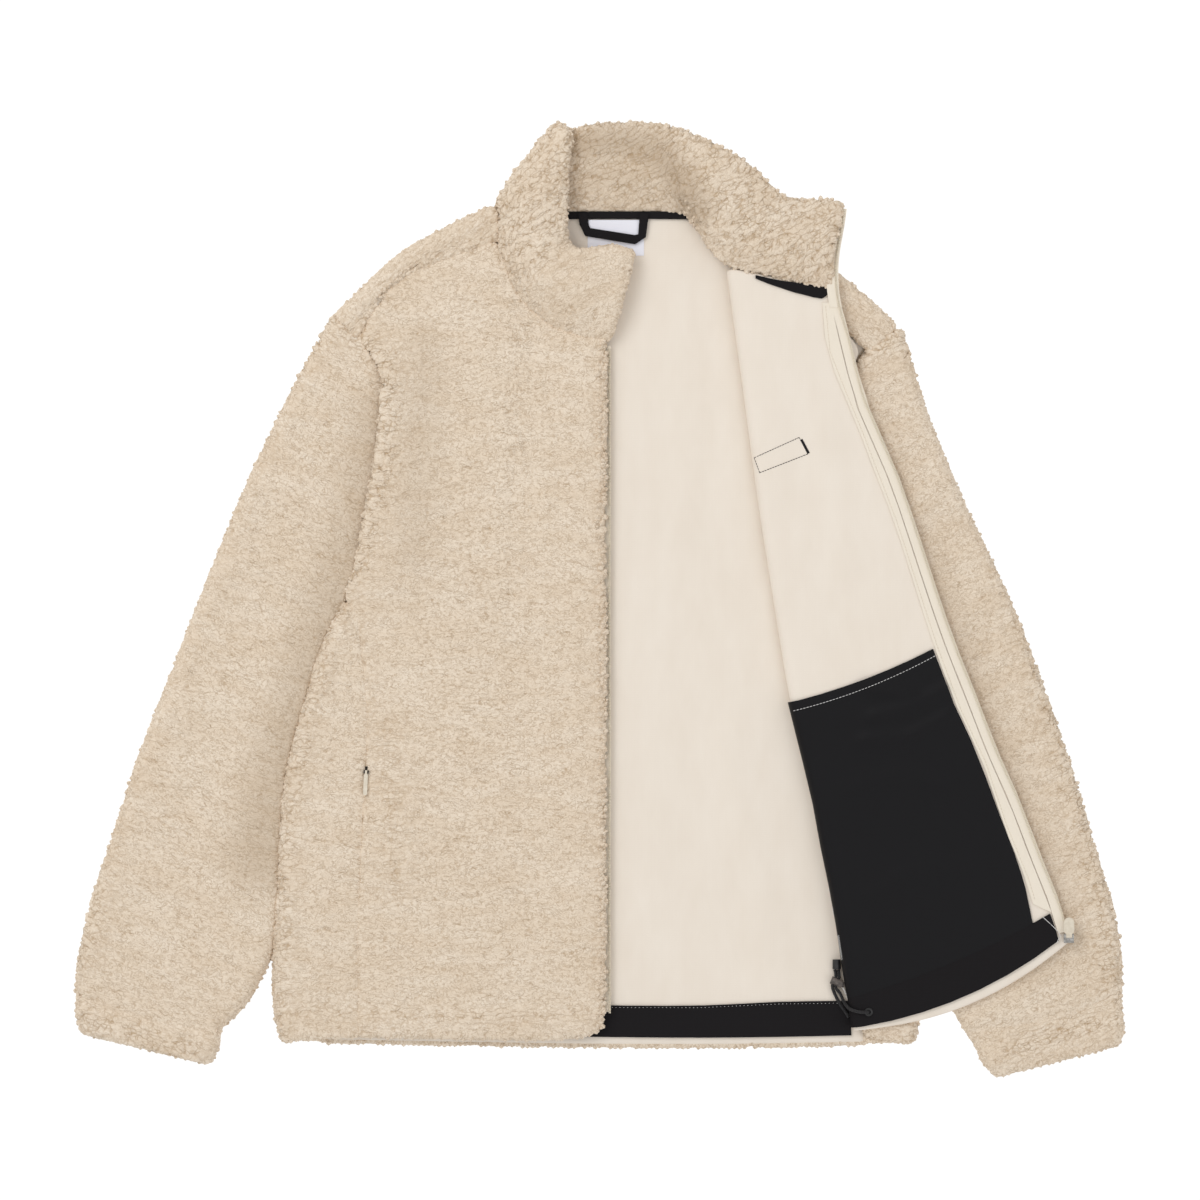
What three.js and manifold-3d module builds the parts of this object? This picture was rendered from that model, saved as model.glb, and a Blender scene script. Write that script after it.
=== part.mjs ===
// A teddy (sherpa) jacket laid out flat, one front closed and the other turned back to show its inside.
// Millimetres. +X to the wearer's left, +Y towards the collar, +Z up from the surface that it lies on.
// Every cloth piece is a closed wall: pile and backing together are WALL thick.
import * as THREE from 'three';
import { mergeVertices } from 'three/addons/utils/BufferGeometryUtils.js';
import Module from 'manifold-3d';

// ---------------------------------------------------------------- driving dimensions
const WALL = 7; // pile and bonded backing together
const GAP = 0.6; // air between two walls that lie on each other
const SEAM = 0.4; // half of the gap between pieces that are sewn edge to edge
const UNDER_SEAM = 2.4; // the same round the curved edge of the back, underneath
const RIM = 3; // width of the rounded edge of a wall
const RIM_THICKNESS = 0.5; // share of the wall left at that edge
const LINING = 0.3; // air between a wall and a thin piece sewn on it

const LOWER = WALL / 2; // middle heights of the three lying layers
const UPPER = LOWER + WALL + GAP;
const THIRD = UPPER + WALL + GAP;
const BACK_FACE = WALL; // top faces of the same layers
const UPPER_FACE = 2 * WALL + GAP;
const THIRD_FACE = 3 * WALL + 2 * GAP;

const COLLAR_HALF = WALL + GAP / 2; // half the thickness of the two-layer collar
const FACING = 1.2; // thickness of the woven facings
const TAPE = 0.8; // thickness of the zip tapes
const CORD = 2.7; // diameter of the elastic hem cord

const COLOURS = {
  pile: 0xded0b6,
  black: 0x1c1a1c,
  tape: 0xe4dccb,
  label: 0xe4e6ea,
  metal: 0x9a9a9a,
  horn: 0x5a5148,
};

// ---------------------------------------------------------------- tables and curves
const table = (names, ...lines) => {
  const keys = names.split(' ');
  return lines.map((line) => Object.fromEntries(keys.map((key, k) => [key, line[k]])));
};

// Rows of a table worked out again at the given shares of its length, along smooth curves.
function stations(rows, shares) {
  const keys = Object.keys(rows[0]);
  const curves = keys.map((key) => new THREE.SplineCurve(rows.map((row, k) => new THREE.Vector2(k, row[key]))));
  return shares.map((share) => Object.fromEntries(keys.map((key, k) => [key, curves[k].getPoint(share).y])));
}

const vectors = (rows) => rows.map((row) => new THREE.Vector3(row.x, row.y, row.z ?? 0));
const smooth = (rows) => new THREE.CatmullRomCurve3(vectors(rows), false, 'centripetal');
const flat = (x, y, z = 0) => new THREE.Vector3(x, y, z);
const mix = (a, b, share) => a.clone().lerp(b, share);

// Shares 0 to 1 in even steps, with one more close to each end for the rounded edge.
function shares(steps, length) {
  const rim = Math.min(RIM / length, 0.4 / steps);
  const even = Array.from({ length: steps - 1 }, (_, k) => (k + 1) / steps);
  return [0, rim, ...even, 1 - rim, 1];
}

const reversed = (rows) => [...rows].reverse();
const bell = (x, centre, width) => Math.exp(-(((x - centre) / width) ** 2));

// ---------------------------------------------------------------- closed solids from grids of points
function geometry(positions, indices) {
  const shape = new THREE.BufferGeometry();
  shape.setAttribute('position', new THREE.Float32BufferAttribute(positions, 3));
  shape.setIndex(indices);
  return facingOut(shape);
}

function facingOut(shape) {
  const place = shape.getAttribute('position');
  const index = shape.getIndex();
  const [a, b, c] = [new THREE.Vector3(), new THREE.Vector3(), new THREE.Vector3()];
  let volume = 0;
  for (let k = 0; k < index.count; k += 3) {
    a.fromBufferAttribute(place, index.getX(k));
    b.fromBufferAttribute(place, index.getX(k + 1));
    c.fromBufferAttribute(place, index.getX(k + 2));
    volume += a.dot(b.cross(c));
  }
  if (volume < 0) shape.setIndex([...index.array].reverse());
  return shape;
}

// Joins two grids of the same size, one on each side of a wall, and closes their edges.
function shell(one, two, round = false) {
  const rows = one.length;
  const columns = one[0].length;
  const positions = [];
  const indices = [];
  for (const side of [one, two]) {
    for (const row of side) for (const p of row) positions.push(p.x, p.y, p.z);
  }
  const at = (side, i, j) => side * rows * columns + (i % rows) * columns + j;
  const quad = (a, b, c, d) => indices.push(a, b, c, a, c, d);
  const strips = round ? rows : rows - 1;
  const last = columns - 1;
  for (let i = 0; i < strips; i++) {
    for (let j = 0; j < last; j++) {
      quad(at(0, i, j), at(0, i + 1, j), at(0, i + 1, j + 1), at(0, i, j + 1));
      quad(at(1, i, j), at(1, i, j + 1), at(1, i + 1, j + 1), at(1, i + 1, j));
    }
    quad(at(0, i, 0), at(1, i, 0), at(1, i + 1, 0), at(0, i + 1, 0));
    quad(at(0, i, last), at(0, i + 1, last), at(1, i + 1, last), at(1, i, last));
  }
  for (let j = 0; j < last && !round; j++) {
    quad(at(0, 0, j), at(0, 0, j + 1), at(1, 0, j + 1), at(1, 0, j));
    quad(at(0, rows - 1, j), at(1, rows - 1, j), at(1, rows - 1, j + 1), at(0, rows - 1, j + 1));
  }
  return geometry(positions, indices);
}

function normals(mid) {
  const [rows, columns] = [mid.length, mid[0].length];
  return mid.map((row, i) => row.map((_, j) => {
    const along = mid[Math.min(i + 1, rows - 1)][j].clone().sub(mid[Math.max(i - 1, 0)][j]);
    const across = row[Math.min(j + 1, columns - 1)].clone().sub(row[Math.max(j - 1, 0)]);
    return along.cross(across).normalize();
  }));
}

// A wall round a grid of middle points, with rounded edges.
function wall(mid, thickness = () => WALL) {
  const normal = normals(mid);
  const [rows, columns] = [mid.length, mid[0].length];
  const face = (side) => mid.map((row, i) => row.map((p, j) => {
    const onEdge = i === 0 || j === 0 || i === rows - 1 || j === columns - 1;
    const half = (thickness(p, i, j) / 2) * (onEdge ? RIM_THICKNESS : 1);
    return p.clone().addScaledVector(normal[i][j], side * half);
  }));
  return shell(face(1), face(-1));
}

// A grid that fills the space between four edges: left and right run downwards, top and bottom to the right.
function patch({ left, right, top, bottom }, across, down) {
  const [l, r, t, b] = [left, right, top, bottom].map(smooth);
  const corners = [t.getPointAt(0), t.getPointAt(1), b.getPointAt(0), b.getPointAt(1)];
  return across.map((u) => down.map((v) => {
    const p = mix(t.getPointAt(u), b.getPointAt(u), v).add(mix(l.getPointAt(v), r.getPointAt(v), u));
    return p.sub(mix(mix(corners[0], corners[1], u), mix(corners[2], corners[3], u), v));
  }));
}

// A thin flat piece between two lines, lying on a face.
function strip(one, two, base, thickness, steps = 12, columns = 2) {
  const [a, b] = [smooth(one), smooth(two)];
  const level = (z) => Array.from({ length: steps + 1 }, (_, i) => Array.from({ length: columns + 1 }, (_, j) => {
    const p = mix(a.getPointAt(i / steps), b.getPointAt(i / steps), j / columns);
    return flat(p.x, p.y, p.z + z);
  }));
  return shell(level(base + thickness), level(base));
}

// Cloth that turns back over itself along a roll: a lower leg, a half turn and an upper leg.
// Columns: lowX lowY (edge of the lower leg), rollX rollY (outermost line), upX upY (edge of the upper
// leg), puff (how much the roll stands above the upper leg) and bow (sag of the upper leg's middle).
const TURN_STEPS = 6;
function rollFrame(roll, before, after, up, reach) {
  const line = after.clone().sub(before).normalize();
  const outward = flat(-line.y, line.x);
  if (outward.dot(up.clone().sub(roll)) > 0) outward.negate();
  return { outward, centre: roll.clone().addScaledVector(outward, -reach) };
}

// A point on a leg that sags sideways in its middle.
function legPoint(centre, edge, share, bow) {
  const side = flat(-(edge.y - centre.y), edge.x - centre.x).normalize();
  return mix(centre, edge, share).addScaledVector(side, 4 * bow * share * (1 - share));
}

function rolled(rows, { low, up, lowSteps, upSteps }) {
  const rolls = rows.map((row) => flat(row.rollX, row.rollY));
  return rows.map((row, k) => {
    const puff = row.puff ?? 0;
    const radius = (up - low + puff) / 2;
    const [before, after] = [rolls[Math.max(k - 1, 0)], rolls[Math.min(k + 1, rows.length - 1)]];
    const { outward, centre } = rollFrame(rolls[k], before, after, flat(row.upX, row.upY), radius + WALL / 2);
    const leg = (edge, height, lift, steps) => shares(steps, edge.distanceTo(centre)).slice(2)
      .map((s) => legPoint(centre, edge, s, lift * (row.bow ?? 0)).setZ(height + lift * puff * (1 - s) ** 2));
    const turn = Array.from({ length: TURN_STEPS + 1 }, (_, n) => {
      const angle = (n / TURN_STEPS - 0.5) * Math.PI;
      const p = centre.clone().addScaledVector(outward, radius * Math.cos(angle));
      return p.setZ(low + radius * (1 + Math.sin(angle)));
    });
    const lower = leg(flat(row.lowX, row.lowY), low, 0, lowSteps).reverse();
    return [...lower, ...turn, ...leg(flat(row.upX, row.upY), up, 1, upSteps)];
  });
}

// ---------------------------------------------------------------- outlines that several pieces share
// Armholes, from the shoulder down to the underarm.
const ARMHOLE_RIGHT = table('x y', [-226, 239.7], [-207, 221], [-184, 200], [-177, 165], [-177, 125], [-186, 75],
  [-207.6, 22]);
const ARMHOLE_LEFT = table('x y', [255, 229], [244.8, 224.4], [221, 204], [204, 165], [201, 125], [209, 70],
  [228.6, 22]);

// Sleeves: outer and inner edge at each section, the height that the edges stand above the middle,
// and the share of the full height (less at the stitch line of the cuff).
const SLEEVE_RIGHT = table('outX outY inX inY outPuff inPuff full',
  [-226, 239.7, -207.6, 22, 1, 0, 1], [-253.3, 191, -210.6, 6, 3.5, 0, 1], [-285.6, 125.8, -221, -6, 4.5, 0, 1],
  [-312.8, 63.8, -237.6, -39, 4.5, 0, 1], [-340, -4, -250, -85, 4.5, 0, 1], [-367, -74.8, -263.6, -128, 4, 1, 1],
  [-387.6, -124, -270.4, -171, 4, 1, 1], [-404.6, -178.5, -273, -215, 4.5, 2, 1],
  [-418, -219, -274.8, -258, 4.5, 2, 1], [-431, -258.4, -279, -301, 4.5, 2, 1],
  [-439.5, -293, -291, -321, 4.5, 3, 1], [-444, -323, -304, -348, 4, 3, 1], [-443, -336, -326, -362, 1, 1, 0.8],
  [-444.5, -350, -323, -374, 4, 4, 1.06], [-440, -366, -332, -392, 3, 3, 1]);
const SLEEVE_LEFT = table('outX outY inX inY outPuff inPuff full',
  [255, 229, 228.6, 22, 1, 0, 1], [272, 170, 237, -8, 3.5, 0, 1], [289, 125, 243, -36, 4.5, 0, 1],
  [306, 85, 250, -70, 4.5, 0, 1], [326, 43, 257.5, -110, 4.5, 0, 1], [346.4, 0, 262.5, -146, 4.5, 0, 1],
  [373, -69, 266.2, -180, 4, 0, 1], [389, -114, 268, -210, 4, 0, 1], [402, -154, 269, -240, 4, 0, 1],
  [412.8, -191, 270, -264, 4, 0, 1], [423, -228.7, 274, -288, 4, 0, 1], [434, -260, 282, -309, 4, 0, 1],
  [439.5, -289.5, 291, -328, 4, 0, 1], [442, -326, 304, -352, 4, 0, 1], [440, -349, 325, -384, 1, 0, 0.8],
  [445, -362, 325, -391, 4, 4, 1.06], [440.5, -376, 337, -403, 3, 3, 1]);

// Side panels: they wrap round the body's edge, from the side-front seam to the back.
const SIDE_RIGHT = table('lowX lowY rollX rollY upX upY puff',
  [-204, -4, -218.6, -3, -207.6, -4, 0], [-204, -18, -226, -18, -207, -18, 2], [-204, -39, -236.7, -39, -203.6, -38, 3.5],
  [-209, -85, -249.2, -85, -198, -85, 4], [-222.7, -128, -262.7, -128, -198.6, -128, 4],
  [-229.5, -172, -269.5, -172, -200.6, -172, 4], [-232, -215, -272, -215, -203.4, -215, 4],
  [-233.7, -258, -273.8, -258, -206, -258, 4], [-236, -301, -276.6, -301, -206.6, -301, 4],
  [-236, -345, -275.4, -345, -206.4, -345, 3.5], [-234, -373, -270, -373, -206.4, -369, 3]);
const SIDE_LEFT = table('lowX lowY rollX rollY upX upY puff',
  [219, 6, 232.4, 6, 223.8, 8, 0], [214, -16, 236.8, -16, 222.8, -16, 0], [212, -39, 242.2, -39, 221.6, -39, 0],
  [212, -85, 252, -85, 220.8, -85, 0], [220, -128, 259.4, -128, 220.8, -128, 0],
  [225, -172, 264.6, -172, 221.2, -172, 0], [227, -215, 267.2, -215, 221.8, -215, 0],
  [228, -258, 268.4, -258, 222.8, -258, 0], [228, -301, 268.6, -301, 224.4, -301, 0],
  [227, -345, 268, -345, 226, -345, 0], [226, -374, 266.6, -374, 227.4, -368, 0]);

// Forward shoulder pieces: they come over the shoulder to a seam on the front.
const SHOULDER_RIGHT = table('lowX lowY rollX rollY upX upY puff',
  [-91, 321, -92, 333.4, -88.2, 309, 1], [-103, 313.5, -110, 325, -105, 300.6, 2],
  [-122, 305, -129.2, 315.6, -120.4, 295.6, 2.5], [-146, 292, -154.7, 302, -139.9, 288.8, 2.5],
  [-163, 281, -173, 291, -170.4, 277.6, 2.5], [-189, 256, -201.5, 263, -188.6, 256.4, 2.5],
  [-211, 232, -223.6, 242.6, -208, 225.8, 2]);
const SHOULDER_LEFT = table('lowX lowY rollX rollY upX upY puff',
  [99, 315, 103, 329.6, 98, 306, 0], [121, 306, 130, 318, 124, 293.4, 0], [150, 290, 160, 303, 152, 278.6, 0],
  [173, 277, 185, 289, 174.6, 262.8, 0], [192, 262, 205, 272.6, 193, 248, 0], [214, 243, 228, 254, 210.4, 231, 0],
  [231, 226, 250.4, 233.2, 228.6, 213.4, 0]);

const edge = (rows, x, y, dx = 0, dy = 0) => rows.map((row) => ({ x: row[x] + dx, y: row[y] + dy }));

// ---------------------------------------------------------------- back
// It lies on the surface with its pile down; its hem shows below the turned-back front.
function backPanel() {
  const seamRight = edge(SIDE_RIGHT, 'lowX', 'lowY', UNDER_SEAM).slice(1);
  const seamLeft = edge(SIDE_LEFT, 'lowX', 'lowY', -UNDER_SEAM).slice(1);
  const hem = table('x y', [-233, -374.4], [-120, -376.5], [0, -378.3], [120, -378.3], [225, -376.4]);
  const neck = table('x y', [-83, 326], [-64, 328.4], [-40, 330.4], [0, 331], [50, 331], [80, 329], [93, 317]);
  const top = [
    ...reversed(edge(SHOULDER_RIGHT, 'lowX', 'lowY', 0.6, -2.4)), ...neck,
    ...edge(SHOULDER_LEFT, 'lowX', 'lowY', -0.6, -1.8),
  ];
  const armholeRight = edge(ARMHOLE_RIGHT, 'x', 'y', 1.4 + UNDER_SEAM).slice(2);
  const armholeLeft = edge(ARMHOLE_LEFT, 'x', 'y', -1.4 - UNDER_SEAM).slice(2);
  const left = [top[0], ...armholeRight, ...seamRight.slice(0, -1), hem[0]];
  const right = [top[top.length - 1], ...armholeLeft, ...seamLeft.slice(0, -1), hem[hem.length - 1]];
  const grid = patch({ left, right, top, bottom: hem }, shares(13, 420), shares(15, 640));
  for (const row of grid) for (const p of row) p.setZ(LOWER);
  return wall(grid);
}

// ---------------------------------------------------------------- closed front (wearer's right)
// Its armhole edge rides over the sleeve, its zip edge over the zip, and its hem is turned and stitched.
const HEM_LINE = -338;
const ZIP_EDGE_LIFT = 4.2;
const POCKET = { top: -119, bottom: -246, slit: 1.2, bandLift: 2.6, bandMiddle: -177, bandHalf: 15 };

const inPocket = (y) => THREE.MathUtils.smoothstep(y, POCKET.bottom, POCKET.bottom + 14)
  * (1 - THREE.MathUtils.smoothstep(y, POCKET.top - 14, POCKET.top));

function closedFrontHeight(x, y) {
  const armhole = (1 - THREE.MathUtils.smoothstep(x, -176, -146)) * THREE.MathUtils.smoothstep(y, -2, 26)
    * (1 - THREE.MathUtils.smoothstep(y, 203, 222));
  const zip = THREE.MathUtils.smoothstep(x, -80, -12);
  const band = bell(x, POCKET.bandMiddle, POCKET.bandHalf) * inPocket(y) * POCKET.bandLift;
  return UPPER + armhole * (WALL + 2 * GAP) + zip * ZIP_EDGE_LIFT + band;
}

function closedFront() {
  const left = [
    { x: -203.4, y: 222.6 }, { x: -183, y: 203 }, { x: -184, y: 160 }, { x: -187.9, y: 123.3 },
    { x: -193.6, y: 92 }, { x: -199.6, y: 60 }, { x: -205.8, y: 24 },
    ...edge(SIDE_RIGHT, 'upX', 'upY', 2 * SEAM).slice(1),
  ];
  const bottomLeft = left[left.length - 1];
  const right = table('x y', [6, 221.6], [7, 160], [5.6, 60], [6.4, -60], [5.4, -180], [6.4, -290], [3.6, -363]);
  const top = [
    left[0], { x: -187, y: 254.4 }, { x: -169.4, y: 275.8 }, { x: -139, y: 287.2 }, { x: -104, y: 299 },
    { x: -89, y: 303.6 }, { x: -83.4, y: 292 }, { x: -76, y: 270 }, { x: -66.6, y: 254 }, { x: -51, y: 238 },
    { x: -33.6, y: 227.6 }, { x: -12, y: 221.4 }, right[0],
  ];
  const bottom = [bottomLeft, { x: -150, y: -370.6 }, { x: -80, y: -371.6 }, { x: -40, y: -371.4 },
    { x: -14, y: -369.6 }, right[right.length - 1]];
  const down = [...shares(18, 590).slice(0, -3), 0.91, 0.935, 0.943, 0.951, 0.975, 0.995, 1];
  const grid = patch({ left, right, top, bottom }, shares(11, 212), down);
  const slit = (p, share) => inPocket(p.y) * POCKET.slit * Math.max(0, 1 - 6 * share);
  grid.forEach((row, i) => {
    const share = i / (grid.length - 1);
    for (const p of row) p.set(p.x + slit(p, share), p.y, closedFrontHeight(p.x, p.y));
  });
  return wall(grid, (p) => WALL - 2.2 * bell(p.y, HEM_LINE, 3));
}

// ---------------------------------------------------------------- turned-back front (wearer's left)
const TURNED_FRONT = table('lowX lowY rollX rollY upX upY puff bow',
  [147, 278, 107, 280, 198, 264.5, 0, 0], [173, 260.4, 108.8, 267, 199, 255.6, 0, 0],
  [191, 245.4, 111.6, 247, 202, 243, 0, 0], [208.6, 228.6, 114.5, 226, 207.5, 225, 0, 0],
  [223.4, 211, 117.2, 206, 212.5, 207, 0, 0], [214, 202, 120, 187, 217, 191, 0, 0],
  [199.4, 165, 123.5, 160, 223.5, 168, 0, 0], [196.4, 127, 127.5, 129, 233, 145, 0, 0],
  [199.2, 98, 131.8, 98, 246, 116, 0, 0], [204.4, 68, 136, 68, 257, 86, 0, 0],
  [218.6, 22, 143, 24, 273, 40, 0, 0], [220.6, -30, 152, -32, 289, -8, 0, 0],
  [219.8, -86, 160.7, -86.7, 305, -53, 0, 0], [219.8, -142, 175, -142.8, 326, -106, 0, 0],
  [220.2, -180, 183.6, -180, 342, -147, 0, 0], [220.8, -222, 191, -222, 358, -184, 0, 0],
  [221.6, -257, 198.9, -257, 369, -214, 0, -1], [223, -293, 204, -293, 382, -246, 0, -2],
  [225, -336, 211.7, -336, 391, -272, 0, -8], [226.2, -366.6, 215, -366, 397, -291.5, 0, -16]);

const FRONT_STATIONS = stations(TURNED_FRONT, shares(22, 690));

function turnedFront() {
  return wall(rolled(FRONT_STATIONS, { low: UPPER, up: THIRD, lowSteps: 3, upSteps: 7 }));
}

// The fold's place at a height up the garment.
function foldAt(y) {
  const k = Math.max(1, FRONT_STATIONS.findIndex((row) => row.rollY <= y || row === FRONT_STATIONS.at(-1)));
  const [above, below] = [FRONT_STATIONS[k - 1], FRONT_STATIONS[k]];
  return THREE.MathUtils.mapLinear(y, above.rollY, below.rollY, above.rollX, below.rollX);
}

// ---------------------------------------------------------------- side and shoulder pieces
const SIDE_LAYERS = { low: LOWER, up: UPPER, lowSteps: 3, upSteps: 4 };

function sidePanel(rows, slit) {
  const grid = rolled(stations(rows, shares(12, 385)), SIDE_LAYERS);
  for (const row of grid) {
    const last = row[row.length - 1];
    last.x -= slit * inPocket(last.y) * POCKET.slit;
    row[row.length - 2].x -= slit * inPocket(last.y) * POCKET.slit;
  }
  return wall(grid, (p) => WALL - (p.z > LOWER + 1 ? 2.2 * slit * bell(p.y, HEM_LINE, 3) : 0));
}

const shoulderPiece = (rows) => wall(rolled(stations(rows, shares(7, 165)), { ...SIDE_LAYERS, lowSteps: 2 }));

// ---------------------------------------------------------------- sleeves
// A flattened tube: the two walls lie on each other with a slit between them.
const SLEEVE = { edge: 9, side: 6, turn: 5, armholeFade: 0.34 };

function sleeve(rows, armhole, steps) {
  const seam = smooth(armhole);
  const down = stations(rows, shares(steps, 620));
  const fractions = shares(steps, 620);
  const sectionShares = Array.from({ length: SLEEVE.side + 1 }, (_, k) => k / SLEEVE.side);
  const section = down.map((row, k) => {
    const outer = flat(row.outX, row.outY);
    const inner = flat(row.inX, row.inY);
    const width = outer.distanceTo(inner);
    const fade = Math.max(0, 1 - fractions[k] / SLEEVE.armholeFade) ** 2;
    const across = (q) => {
      const share = THREE.MathUtils.clamp(q, 0, 1);
      const bend = seam.getPointAt(share).sub(mix(flat(rows[0].outX, rows[0].outY), flat(rows[0].inX, rows[0].inY), share));
      return mix(outer, inner, q).addScaledVector(bend, fade);
    };
    const onEnd = k === 0 || k === down.length - 1;
    const full = row.full * (onEnd ? 0.62 : 1);
    const middle = BACK_FACE + GAP / 2;
    const height = (z) => middle + (z - middle) * (z > middle || onEnd ? full : 1);
    const puff = (a) => row.outPuff * (1 - THREE.MathUtils.smoothstep(a, 0, 42))
      + row.inPuff * (1 - THREE.MathUtils.smoothstep(width - a, 0, 42));
    const put = (a, z) => across(a / width).setZ(z);
    const points = { outer: [], inner: [] };
    const add = (a, z, insideA, insideZ) => {
      points.outer.push(put(a, height(z)));
      points.inner.push(put(insideA, insideZ));
    };
    const span = width - 2 * SLEEVE.edge;
    for (const s of sectionShares) add(SLEEVE.edge + s * span, 0, SLEEVE.edge + s * span, BACK_FACE);
    const turn = (centre, out, top) => {
      for (let n = 1; n < SLEEVE.turn; n++) {
        const angle = (n / SLEEVE.turn - 0.5) * Math.PI * out;
        const side = Math.cos(angle) * out;
        const z = top / 2 + (top / 2) * Math.sin(angle);
        add(centre + side * SLEEVE.edge, z, centre + (side * GAP) / 2, middle + (GAP / 2) * Math.sin(angle));
      }
    };
    turn(width - SLEEVE.edge, 1, UPPER_FACE + puff(width - SLEEVE.edge));
    for (const s of reversed(sectionShares)) {
      const a = SLEEVE.edge + s * span;
      add(a, UPPER_FACE + puff(a), a, BACK_FACE + GAP);
    }
    turn(SLEEVE.edge, -1, UPPER_FACE + puff(SLEEVE.edge));
    return points;
  });
  const around = section[0].outer.map((_, i) => i);
  return shell(around.map((i) => section.map((s) => s.outer[i])), around.map((i) => section.map((s) => s.inner[i])), true);
}

// ---------------------------------------------------------------- collar
// A stand collar of two layers. Its right half leans in over the back neck with the outside up, it
// turns over at the back of the neck, and its left half lies over the shoulder with the inside up.
const COLLAR_ROWS = 'neckX neckY neckZ midX midY midZ topX topY topZ';
const COLLAR_RIGHT = table(COLLAR_ROWS,
  [7.4, 223.2, 15, 19, 262, 20.5, 27, 294, 17.5], [-10.6, 223.4, 14, 0, 263, 23, 9.4, 300, 18.5],
  [-33.2, 229.6, 12, -17, 264, 26, -5, 296, 20], [-49.6, 240.2, UPPER, -36, 268, 27, -20, 294, 21],
  [-64.4, 256.4, UPPER, -48, 280, 27, -30, 302, 21], [-73.4, 271.6, UPPER, -53, 294, 27, -31.5, 317, 21],
  [-80.4, 290, UPPER, -54, 313, 26.5, -31, 342, 22.6], [-84.6, 308, UPPER, -56, 334, 26, -30.4, 362, 23],
  [-85.6, 320, UPPER, -58, 351, 25, -30, 382, 23]);
const COLLAR_FOLD = { neck: flat(-81.6, 328.6, 0), top: flat(-25.5, 395.5, 0), steps: 6 };
const COLLAR_LEFT = table(COLLAR_ROWS,
  [-58, 332.2, LOWER, -34, 367, 7.3, -10, 401.6, 7.3], [-27, 332.4, LOWER, -8, 368, 7.3, 10, 403, 7.3],
  [5, 332.4, LOWER, 17, 369, 7.3, 29, 403.6, 7.3], [38, 332.4, LOWER, 42, 368, 7.3, 48, 402, 7.3],
  [62, 332.4, 4.4, 56, 366, 9, 60, 399.4, 8.6], [78, 331, 8, 68, 363, 17, 72, 395.6, 14],
  [86.6, 318, 13.6, 82, 355, 25, 88, 388.4, 20], [92, 303, 18, 100, 342, 28.6, 108, 378.4, 23],
  [107, 287, THIRD, 120, 326, 28.6, 131, 362, 22.6], [130, 280, THIRD, 140, 309, 27.6, 148, 342, 22],
  [160, 274.4, THIRD, 164, 303, 27, 168, 335.6, 22], [184, 269.8, THIRD, 188, 302, 27, 190, 338, 22],
  [199.6, 267.6, THIRD, 202.4, 301, 25.4, 204, 334.6, 21]);

function collarGrid() {
  const section = (row) => [flat(row.neckX, row.neckY, row.neckZ), flat(row.midX, row.midY, row.midZ),
    flat(row.topX, row.topY, row.topZ)];
  const { neck, top, steps } = COLLAR_FOLD;
  const line = top.clone().sub(neck).normalize();
  const outward = flat(-line.y, line.x);
  const turn = Array.from({ length: steps + 1 }, (_, n) => {
    const angle = (0.5 - n / steps) * Math.PI;
    return [0, 0.5, 1].map((s) => {
      const radius = THREE.MathUtils.lerp((UPPER - LOWER) / 2, COLLAR_HALF + GAP / 2, Math.sqrt(s));
      const p = mix(neck, top, s).addScaledVector(outward, radius * Math.cos(angle));
      const centre = THREE.MathUtils.lerp((UPPER + LOWER) / 2, 2 * COLLAR_HALF + GAP / 2, Math.sqrt(s));
      return p.setZ(centre + radius * Math.sin(angle));
    });
  });
  const sections = [
    ...stations(COLLAR_RIGHT, shares(9, 150)).slice(0, -2).map(section), ...turn,
    ...stations(COLLAR_LEFT, shares(15, 330)).slice(1).map(section),
  ];
  const up = [0, 0.1, 0.26, 0.45, 0.64, 0.82, 0.95, 1];
  return sections.map((points) => {
    const curve = new THREE.CatmullRomCurve3(points, false, 'centripetal');
    return up.map((s) => curve.getPoint(s));
  });
}

function collarLayers() {
  const mid = collarGrid();
  const normal = normals(mid);
  normal.forEach((row, i) => {
    const lean = mid[i][1].clone().sub(mid[i][0]).setZ(0).normalize();
    row[0].addScaledVector(lean, -row[0].dot(lean)).normalize();
  });
  const lastColumn = mid[0].length - 1;
  const lastRow = mid.length - 1;
  const half = (i, j) => {
    const fullness = j === 0 ? 0.48 : j === 1 ? 0.8 : 1;
    return COLLAR_HALF * fullness * (i === 0 || i === lastRow || j === lastColumn ? 0.62 : 1);
  };
  const layer = (side, from) => mid.map((row, i) => row.map((p, j) => {
    const q = p.clone().addScaledVector(normal[i][j], side * (from ? half(i, j) : GAP / 2));
    return q.setZ(Math.max(q.z, 0));
  }));
  const outside = Math.sign(normal[0][2].z);
  return { outer: shell(layer(outside, true), layer(outside, false)),
    inner: shell(layer(-outside, true), layer(-outside, false)) };
}

// ---------------------------------------------------------------- zip, facings and pocket bag on the turned front
const ZIP_LINE = table('x y z', [210, 332, 1.4], [208.8, 312, 1.4], [206.6, 290, 1.4], [204.8, 268, 1.2],
  [205.2, 254, 0.4], [207.4, 241.7, 0], [213.8, 218.5, 0], [219.3, 195, 0], [225, 173.4, 0], [234.3, 151, 0], [243, 131, 0],
  [255, 102.9, 0], [273, 50, 0], [293, -10.6, 0], [306.5, -47.6, 0], [319.6, -79.9, 0], [338, -127.5, 0],
  [357, -170, 0], [373, -212.5, 0], [386, -244, 0], [392.7, -262, 0], [395.6, -272, 0], [397.6, -281, 0]);
const FRONT_ZIP_LINE = ZIP_LINE.slice(4).map(({ x, y }) => ({ x, y }));
const ZIP = { tapeWidth: 9, coilWidth: 3, coilHeight: 1.8, edge: 0.4 };

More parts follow.
